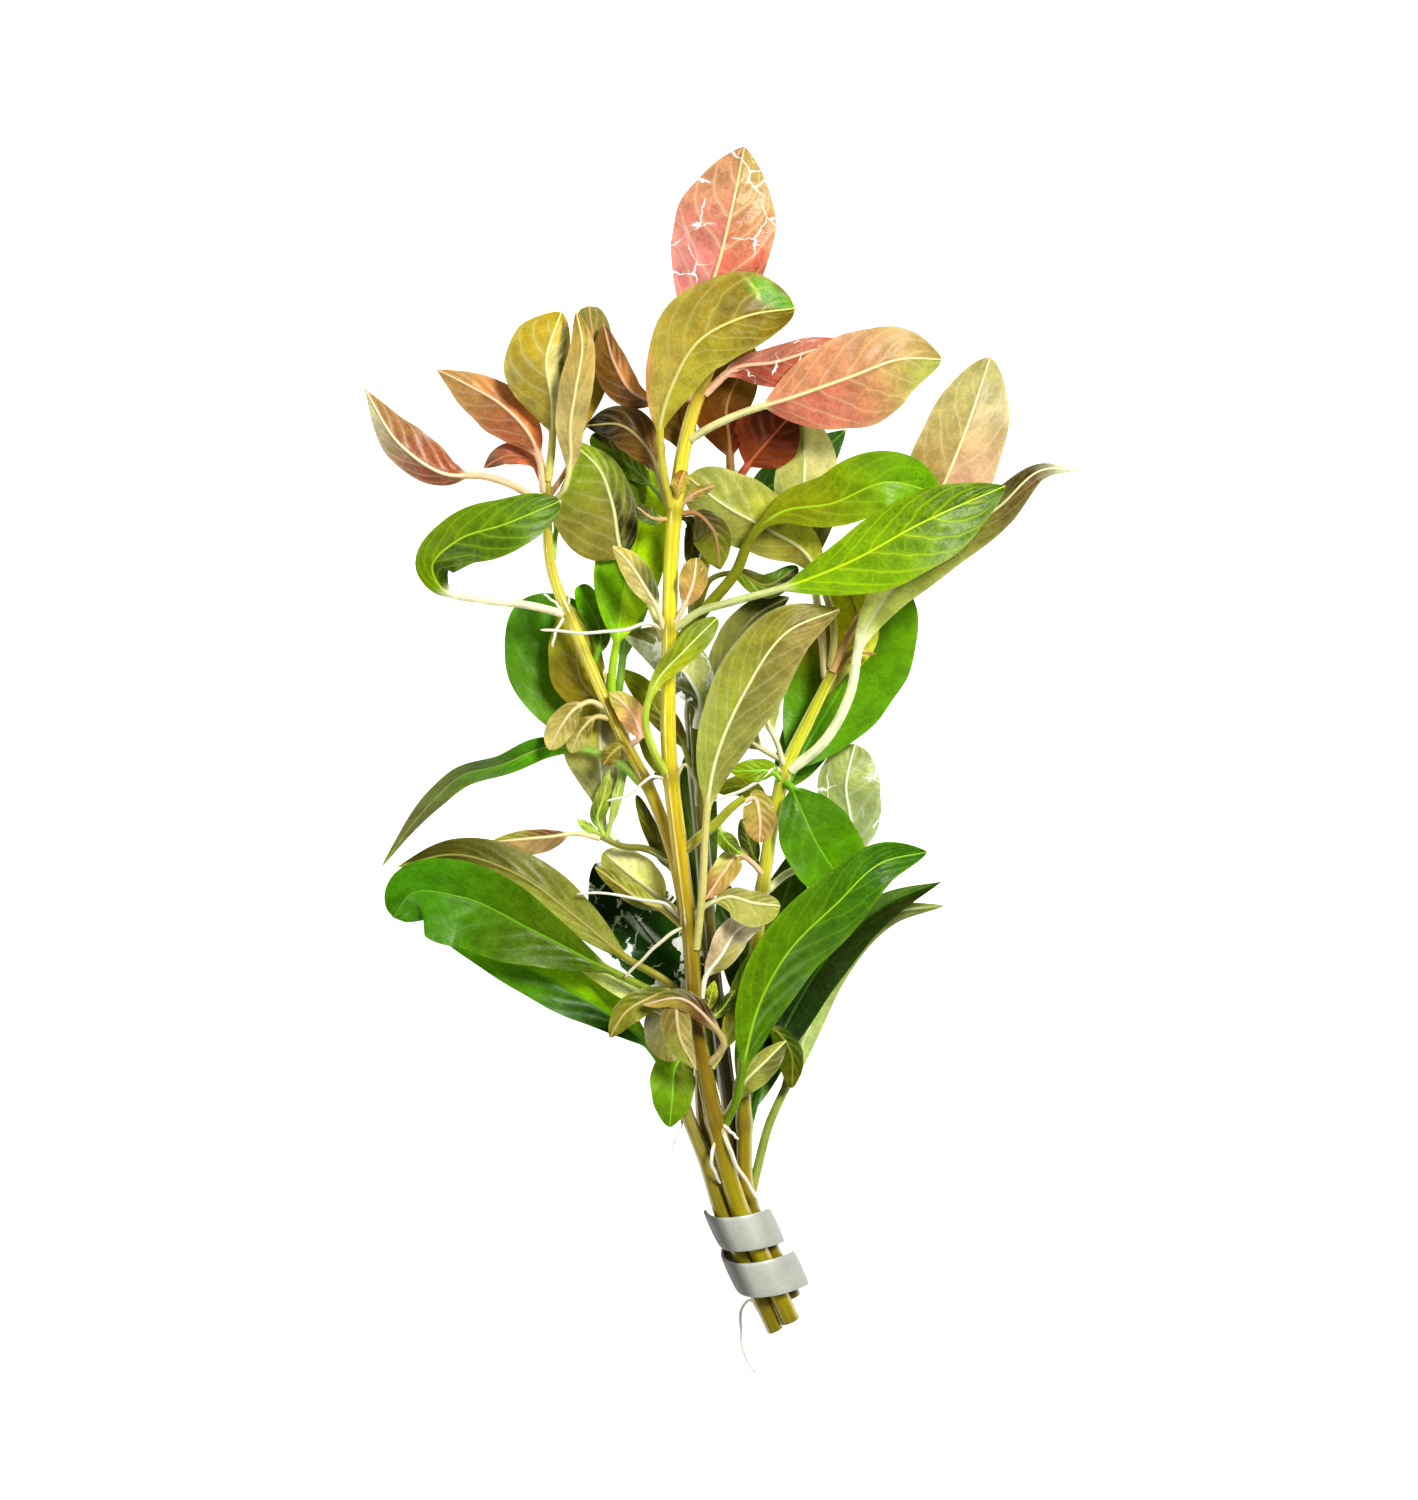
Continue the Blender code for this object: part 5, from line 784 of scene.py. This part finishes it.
leaflet("green_small_right", "stem_right", -3, ((8, -1.5, 18.5), (5, -1.5, 19.5), (1, -1.5, 19)),
        (1.7, 2), 0.15, 0.5, 0.8, "#809C04", "#8CA004", "#A0D848", "#689020", under=False)
leaf("green_right_mid", "stem_right", -3.5,
     ((11, -4, 16.5), (12.5, -7, 17), (15.5, -13.5, 17), (19.5, -19.5, 15.5), (23, -24, 13.5)),
     (7, 5.8), 0.08, 0.45, 0.7, "#508004", "#609804", "#78B024", "#648420", under=False, fold=0.08,
     cup=0.05, veins=0.35)
leaflet("pink_small_right", "stem_right", -18.5,
        ((5, -17, 17), (2.5, -15.5, 19), (0, -18.5, 20), (-3, -23, 20)),
        (2.2, 2.2), 0.25, 0.5, 0.8, ("#A49430", "#CCCC64"), ("#B89458", "#9C6C38"), "#F0C8A0", "#8C5828",
        wet=0.3, veins=0.3)
leaflet("dark_small_centre", "stem_right", -18, ((5, -15.5, 12.5), (4, -12.5, 12), (3, -9.5, 11.5)),
        (1.6, 1.6), 0.15, 0.5, 0.7, "#4C5810", "#3C480C", "#788428", "#38440C", under=False, thick=0.45)
leaflet("dark_behind_centre", "stem_right", -43, ((3.5, -39, 8), (2.5, -31, 6.5), (0, -20, 6)),
        (3.3, 3.3), 0.15, 0.5, 0.7, "#3C5C0C", "#304C08", "#5C7C20", "#384810", under=False)
leaflet("khaki_folded_right", "stem_main", -25.5,
        ((-2, -23.5, 23.5), (1, -22.5, 25), (5, -23.5, 26), (9.5, -24, 25)),
        (2, 4), 0.25, 0.6, 0.8, ("#908C40", "#C0BC5C"), "#A0A044", "#E4E0A8", "#606818", wet=0.5, veins=0.3)
leaflet("tan_bud_right", "shoot_low_right", 0.98, ((5, -6, 22.5), (6, -9, 23), (6, -13.5, 22.5)),
        (2.8, 2.8), 0.1, 0.5, 0.6, "#A0942C", "#B09048", "#E8C8A0", "#786828", thick=0.45, wet=0.3,
        veins=0.3)
leaflet("small_green_right", "shoot_low_right", 0.5, ((0, -12.5, 22), (3, -15.5, 21)),
        (1.5, 1.5), 0.1, 0.45, 0.8, "#708004", "#484804", "#A8CC50", "#587410", under=False, thick=0.45)
leaf("pale_right", "stem_right", -21.5,
     ((11, -18.5, 9.5), (17.5, -16, 8.5), (21, -11.5, 8), (20.5, -4, 8.5), (22, 3, 7.5)),
     (4.8, 5.8), 0.38, 0.62, 0.9, "#A4B074", "#98A450", "#E8F0D0", "#587020", fold=0.08, wet=0.8, pairs=5,
     stalk_tone="#C8CC98")


# Leaves at the foot
# Broad green blades spread low to both sides, dark where they lie under others; small old leaves
# hang over the stems, tan and folded.
leaf("khaki_centre_left", "stem_left", -25.5,
     ((-9, -24, 16), (-12, -21.5, 16), (-16, -18.5, 16), (-20, -15, 15.5)),
     (3.8, 4), 0.25, 0.5, 0.6, "#DCDC74", ("#A4A03C", "#D0CC90"), "#E4E4A8", "#506414", fold=0.06, wet=0.4)
leaflet("brown_small_left", "stem_left", -27,
        ((-10.5, -24.5, 18.5), (-14, -23, 18), (-17.5, -20.5, 18.5), (-21.5, -17.5, 18)),
        (1.5, 1.8), 0.2, 0.5, 0.8, ("#304008", "#A4A840"), "#808014", "#C0B068", "#405008", wet=0.3,
        veins=0.3)
leaf("olive_left_low", "stem_left", -40.5,
     ((-8.5, -37.5, 15.5), (-16.5, -32.5, 17.5), (-24.5, -26, 19.5), (-34, -19, 21), (-44.5, -15.5, 20.5),
      (-54.5, -17.5, 17.5)),
     (3.3, 4.2), 0.24, 0.45, 0.8, ("#B0B454", "#80842C"), "#484404", "#A09850", "#48540C", cup=0.05,
     veins=0.3, pairs=8, stalk_tone="#A0983C")
leaf("green_left_low", "stem_main", -41.5,
     ((-9.5, -39.5, 20), (-20.5, -34, 20.5), (-32, -28, 22), (-44, -22.5, 25.5), (-52, -22, 25.5),
      (-55, -26, 24)),
     (8.3, 6), 0.24, 0.66, 1.1, "#506804", "#488404", "#70A41C", "#889840", under=False, cup=0.05, wet=0.4,
     veins=0.3, pairs=8, stalk_tone="#84982C")
leaf("dark_left_low", "stem_lower_left", -54.5,
     ((-12, -48, 14), (-18.5, -42.5, 14.5), (-27, -37.5, 16), (-37, -32.5, 17.5), (-47.5, -29, 16.5)),
     (4.3, 5), 0.16, 0.5, 0.9, ("#284C04", "#8CBC04"), "#70B004", "#60A020", "#405C10", under=False,
     cup=0.05, wet=0.2, veins=0.3)
leaflet("pale_low_left", "stem_main", -44,
        ((-10, -42, 19), (-15.5, -38.5, 18), (-21.5, -34.5, 18), (-27, -31, 17.5)),
        (1.8, 1.8), 0.2, 0.55, 0.8, "#D8E490", "#D0E438", "#D8DC9C", "#586818")
# dark_back_left's near-white mark, and the white pools that wet=1 brings, are painted highlights on its
# film of water.
leaf("dark_back_left", "stem_back", -41.5,
     ((-5.5, -37, 10), (-10.5, -31.5, 10.5), (-15.5, -25, 10.5), (-21.5, -17, 10)),
     (7, 7.3), 0.12, 0.5, 0.7, "#285004", "#204404", "#2C5C10", "#203C08", under=False, fold=0.05, cup=0.05,
     wet=1,
     marks=((0.4, 0.05, 0.62, -0.1, 1.1, "#E8F0F0", 0.9),))
leaflet("pale_folded_right", "stem_main", -39.5,
        ((-3, -36, 20.5), (-0.5, -32.5, 21.5), (2.5, -28, 22), (7.5, -26, 22.5)),
        (2.7, 2.7), 0.2, 0.5, 0.8, ("#BCA474", "#948C34"), "#ECDCB4", "#F4F0D8", "#787838", wet=0.9,
        veins=0.3)
leaflet("olive_brown_small", "stem_main", -40,
        ((-8, -38.5, 22), (-12.5, -39.5, 22.5), (-16, -41.5, 23), (-19, -46, 22)),
        (2.5, 2.2), 0.2, 0.5, 0.8, ("#80841C", "#646C14"), "#84841C", "#C4B470", "#485008", wet=0.3,
        veins=0.3)
leaf("tan_over_stem", "stem_main", -50.5,
     ((0, -47.5, 20), (-2.5, -43, 23), (-7, -39.5, 24.5), (-13.5, -40.5, 24.5)),
     (1.8, 1.7), 0.3, 0.5, 0.8, ("#78540C", "#44280C"), ("#B0A03C", "#6C7408"), "#DCC0A0", "#706028",
     thick=0.6, wet=0.2, veins=0.3, stalk_tone="#C8B078")
leaflet("tan_hanging", "stem_main", -38.5, ((-7.5, -40, 23.5), (-7.5, -45, 23.5), (-4.5, -51.5, 21)),
        (2.3, 2.8), 0.12, 0.4, 0.7, ("#908440", "#786C28"), ("#B4AC64", "#98A43C"), "#D8C088", "#606418")
leaf("pale_hanging", "stem_left", -43, ((-7, -42.5, 16), (-9, -42.5, 17), (-9, -46.5, 17.5), (-8, -50, 18)),
     (2, 4), 0.2, 0.5, 0.7, "#E4DCAC", "#D8D058", "#E8E4C0", "#606818", fold=0, wet=0.4)
leaflet("small_green_low_a", "stem_main", -42.5, ((-2.5, -40.5, 19.5), (-1.5, -36.5, 19.5)),
        (1.1, 1.1), 0.15, 0.5, 0.8, "#585020", "#B4B418", "#A8C048", "#506810", under=False, thick=0.4)
leaflet("small_green_low_b", "stem_main", -43.5, ((-1, -42, 18.5), (2, -38, 19.5)),
        (1.1, 1.1), 0.15, 0.5, 0.8, "#202C04", "#182404", "#A8C048", "#506810", under=False, thick=0.4)
leaflet("olive_low_right", "stem_right", -44, ((8, -44.5, 12), (11, -48, 11), (11.5, -54.5, 10)),
        (2, 2.3), 0.2, 0.5, 0.7, "#406004", "#5C6004", "#888C30", "#3C4808", thick=0.45)
leaf("green_low_left", "stem_main", -46.5,
     ((-6.5, -48.5, 16.5), (-8, -51, 16), (-8.5, -56, 16), (-9, -61, 14.5)),
     (3.7, 3.8), 0.1, 0.45, 0.6, ("#606804", "#84AC04"), ("#789804", "#608404"), "#90CC40", "#688828",
     under=False, fold=0.08)
leaf("olive_low_centre", "stem_main", -51.5,
     ((0, -47.5, 16.5), (2, -43, 17), (3.5, -37, 17.5), (5, -31.5, 17.5)),
     (2.2, 2.2), 0.15, 0.5, 0.8, "#BCB840", "#4C6C08", "#C0C860", "#505C10", fold=0)
leaflet("khaki_low_right", "stem_main", -60,
        ((1.5, -57, 15), (3.5, -53.5, 16.5), (7, -50, 16.5), (10.5, -46.5, 16)),
        (2, 2.7), 0.2, 0.5, 0.8, "#888C28", ("#A4A444", "#50540C"), "#E0DCA0", "#586410", wet=0.4)
leaf("green_right_low", "stem_main", -61,
     ((2, -57, 17), (3.5, -50, 18.5), (6, -40.5, 20.5), (11, -31.5, 23.5), (19, -23.5, 25.5), (26, -17, 25),
      (34, -15, 21.5)),
     (5.3, 5.5), 0.17, 0.5, 0.75, ("#648C04", "#4C7404"), "#386804", "#9CC828", "#8CA044", under=False,
     fold=0.12, cup=0.05, veins=0.4, pairs=7, stalk_tone="#6C8C10")
leaf("dark_right_low", "stem_right", -60.5,
     ((5.5, -56, 10), (11, -43, 8), (18, -32, 7.5), (27, -24, 8), (36.5, -20, 9)),
     (3.3, 4), 0.12, 0.45, 0.8, "#203404", ("#648438", "#303C04"), "#3C6C18", "#2C4808", under=False,
     fold=0.08, wet=0.2)
leaf("rolled_right_low", "stem_right", -72,
     ((5.8, -67.5, 7), (7.5, -61, 6.5), (10.8, -53.5, 6), (14, -45, 5), (19, -34, 5), (28, -25.5, 5),
      (37, -24, 4.5)),
     (2.3, 2.5), 0.25, 0.5, 0.8, "#B4C870", "#808C48", "#CCD49C", "#4C5C18", thick=0.8, wet=0.4,
     stalk_tone="#90A048")


# Leaves underneath
# Plain green blades behind the others, most of them bent down to the table, where they carry the
# bunch, and a small dark one between them. Their paler lower faces lie away from the camera.
leaf("back_top", "stem_back", 46, ((1, 52, 14.5), (-1, 61, 8.5), (-2, 72, 3), (-2.5, 80, 0.1)),
     (4, 4), 0.2, 0.5, 0.9, "#6C6420", "#605C1C", "#A8A850", "#B08860", under=False, fold=0.08)
leaf("back_right_upper", "stem_back", 42.5,
     ((3.5, 44, 12.5), (9.5, 47, 6.5), (15.5, 51, 2), (20.5, 55.5, 0.1)),
     (4, 4), 0.2, 0.5, 0.9, "#4C7810", "#406C0C", "#80A840", "#889858", under=False, fold=0.08)
leaf("back_left_upper", "stem_left", 7.5,
     ((-17, 15.5, 15.5), (-16, 26, 6.5), (-15.5, 40, 1.5), (-16, 54.5, 0.1)),
     (4.7, 4.7), 0.2, 0.6, 0.9, "#5C8C14", "#4C7C10", "#80A840", "#889858", under=False, fold=0.08)
leaf("back_centre", "stem_back", -34, ((-3.5, -28, 7.5), (-4.5, -17, 6), (-4.5, -5, 5.5), (-3, 8, 6)),
     (3.7, 3.7), 0.12, 0.5, 0.8, "#5C7818", "#4C6C14", "#84A048", "#607038", under=False, fold=0.05,
     wet=0.2)
leaflet("dark_back_right", "stem_right", -33, ((8, -28.5, 8.5), (10.5, -22, 5.5), (13, -14, 4.5)),
        (3.3, 3.3), 0.15, 0.5, 0.8, "#4C640C", "#44600C", "#688C30", "#607038", under=False)
leaf("back_right", "stem_right", -6.5, ((11, -2, 5.5), (15, 5.5, 4.5), (19, 13, 2), (23, 20.5, 0.1)),
     (4.7, 4.7), 0.12, 0.5, 0.9, "#649018", "#548010", "#789C38", "#889858", under=False, fold=0.08)
leaf("back_low_left", "stem_back", -57, ((-1, -52, 5.5), (-4, -42, 5), (-8, -32, 3), (-12, -22.5, 0.1)),
     (5, 5), 0.1, 0.5, 0.8, "#5C7C14", "#547410", "#789C38", "#808C50", under=False, fold=0.08)
leaf("back_low_right", "stem_right", -63,
     ((4.5, -57, 6), (6.5, -47, 4.5), (10, -36, 2.5), (15, -26.5, 0.1)),
     (5, 5.5), 0.12, 0.5, 0.9, "#5C8418", "#507810", "#80A840", "#889858", under=False, fold=0.08)


# Metal strip
# A band of soft grey metal, 6.4 mm wide and 0.7 mm thick, cut from sheet and wound one and a half
# turns round the stems by hand. Its last end stands off as a small tab; its face is dull and dented,
# with painted shade dark down its left side.
def dull_metal():
    """Soft rolled metal with a skin of oxide, so more grey than mirror: the points' satin grey, which holds
    painted shade, clouded in tone, roughness and height by noise of 4 mm (260 to the metre) and 0.6 mm
    (1700 to the metre)."""
    material, tree = bare("soft_grey_metal")
    tint = add(tree, "Attribute", attribute_name="tint", output="Color")
    place = add(tree, "TexCoord", output="Object")
    cloud = add(tree, "TexNoise", place, Scale=260.0, Detail=3.0)
    grain = add(tree, "TexNoise", place, Scale=1700.0, Detail=4.0)
    broad = add(tree, "Math", cloud, 0.35, 0.7, operation="MULTIPLY_ADD")
    shade = add(tree, "Math", grain, 0.25, broad, operation="MULTIPLY_ADD")
    tone = add(tree, "VectorMath", tint, Scale=shade, operation="SCALE")
    rough = add(tree, "Math", cloud, 0.3, 0.28, operation="MULTIPLY_ADD")
    dents = add(tree, "Math", grain, 0.25, cloud, operation="MULTIPLY_ADD")
    bump = add(tree, "Bump", Strength=0.5, Distance=0.0002, Height=dents)
    return dress(material, {"Base Color": tone, "Metallic": 0.15, "Roughness": rough,
                            "Specular IOR Level": 0.35, "Coat Roughness": 0.1, "Normal": bump})


def wound_strip(turns=1.56, width=6.4, thick=0.7, inner=4.45, growth=0.45, drop=8.5, top=8.8):
    """Helix about the strip's axis: reach = inner + thick / 2 + growth t + tab, height = top - drop t
    for turn t, started at the left; the tab stands off by up to 0.7 mm in the last 0.16 turn, and dents
    of 0.06 mm run along it. The cross-section is a rounded box, cos and sin to the power 0.35, bowed by
    0.1 mm. Its grey changes with the side as painted shade: dark down the left, lightest near the
    middle and a little darker at the right."""
    corners = 32
    turn = np.linspace(0, turns, 190)
    angle = np.pi - 2 * np.pi * turn
    tab = np.clip((turn - turns + 0.16) / 0.16, 0, 1)
    dents = 0.06 * np.sin(9 * turn) * np.sin(23 * turn)
    reach = inner + thick / 2 + growth * turn + 0.7 * tab**2 + dents
    height = top - drop * turn
    outward = BAND_ACROSS * np.cos(angle)[:, None] + BAND_UP * np.sin(angle)[:, None]
    corner = np.linspace(0, 2 * np.pi, corners, endpoint=False)
    along_width = np.sign(np.cos(corner)) * abs(np.cos(corner))**0.35 * width / 2
    along_thick = np.sign(np.sin(corner)) * abs(np.sin(corner))**0.35 * thick / 2
    along_thick = along_thick - 0.1 * (along_width / width * 2)**2 + 0.05
    points = (BAND_MIDDLE + outward[:, None] * (reach[:, None] + along_thick)[..., None]
              + BAND_AXIS * (height[:, None] + along_width)[..., None])
    # Painted shade: the grey darkens down the left side and a little at the right, where the band turns
    # away from the light.
    sides = (-1.0, -0.75, -0.45, 0.2, 0.7, 1.0)
    shaded_greys = ("#50524A", "#62645C", "#BCC0B2", "#C8CABC", "#A2A498", "#8C8E84")
    tint = graded(np.cos(angle), sides, shaded_greys)
    piece("wound_metal_strip", points, tube_faces(len(turn), corners), dull_metal(), "lead_strip",
          {"tint": np.repeat(tint, corners, axis=0)}, crease=0.7)


wound_strip()


# Table, light and camera
# A pale table top under the bunch, a big soft light on either side of the camera and a pale room.
# The camera looks straight down through a very long lens, with the foot of the bunch at the bottom.
def table_top():
    """A matt sheet 4 m wide, 0.2 mm under the lowest leaf, a little bright of itself so that it stays
    evenly pale."""
    bpy.ops.mesh.primitive_plane_add(size=4.0, location=(0.0, 0.0, -0.0002))
    table = bpy.context.object
    table.name = "table_top"
    material, _ = bare("pale_table")
    table.data.materials.append(dress(material, {
        "Base Color": (0.9, 0.9, 0.9, 1.0), "Roughness": 0.9, "Specular IOR Level": 0.1,
        "Coat Roughness": 0.1, "Emission Color": (1.0, 1.0, 1.0, 1.0), "Emission Strength": 0.8}))


def pale_room():
    """Even white light from all round."""
    world = bpy.data.worlds.new("pale_room")
    bpy.context.scene.world = world
    world.use_nodes = True
    background = world.node_tree.nodes["Background"]
    background.inputs["Color"].default_value = (1.0, 1.0, 1.0, 1.0)
    background.inputs["Strength"].default_value = 0.13


def soft_light(name, place, size, power):
    """A square light at a place in metres, leant towards the bunch: by the angle of its distance
    sideways to its height, about the upright axis."""
    x, y, z = place
    lamp = bpy.data.lights.new(name, "AREA")
    lamp.size = size
    lamp.energy = power
    holder = bpy.data.objects.new(name, lamp)
    holder.location = place
    holder.rotation_euler = (np.arctan2(np.hypot(x, y), z), 0.0, np.arctan2(-x, y) + np.pi)
    bpy.context.scene.collection.objects.link(holder)


def long_lens(distance=6.0, sensor=0.024, seen=0.25, middle=(-0.0024, 0.00197), focus=0.022):
    """A camera distance metres over the bunch: the lens sensor * distance / seen takes in a height of
    seen metres at the level of focus, with middle at the middle of the picture."""
    lens = bpy.data.cameras.new("long_lens")
    lens.sensor_fit = "VERTICAL"
    lens.sensor_height = 1000 * sensor
    lens.lens = 1000 * sensor * distance / seen
    lens.clip_end = 20.0
    camera = bpy.data.objects.new("camera", lens)
    camera.location = (*middle, focus + distance)
    bpy.context.scene.collection.objects.link(camera)
    bpy.context.scene.camera = camera


table_top()
pale_room()
soft_light("window_light", (0.5, 0.5, 0.95), size=0.35, power=15.0)
soft_light("fill_light", (-0.7, -0.2, 0.9), size=0.3, power=3.4)
long_lens()
bpy.context.scene.view_settings.view_transform = "Standard"
bpy.context.scene.view_settings.look = "Medium High Contrast"
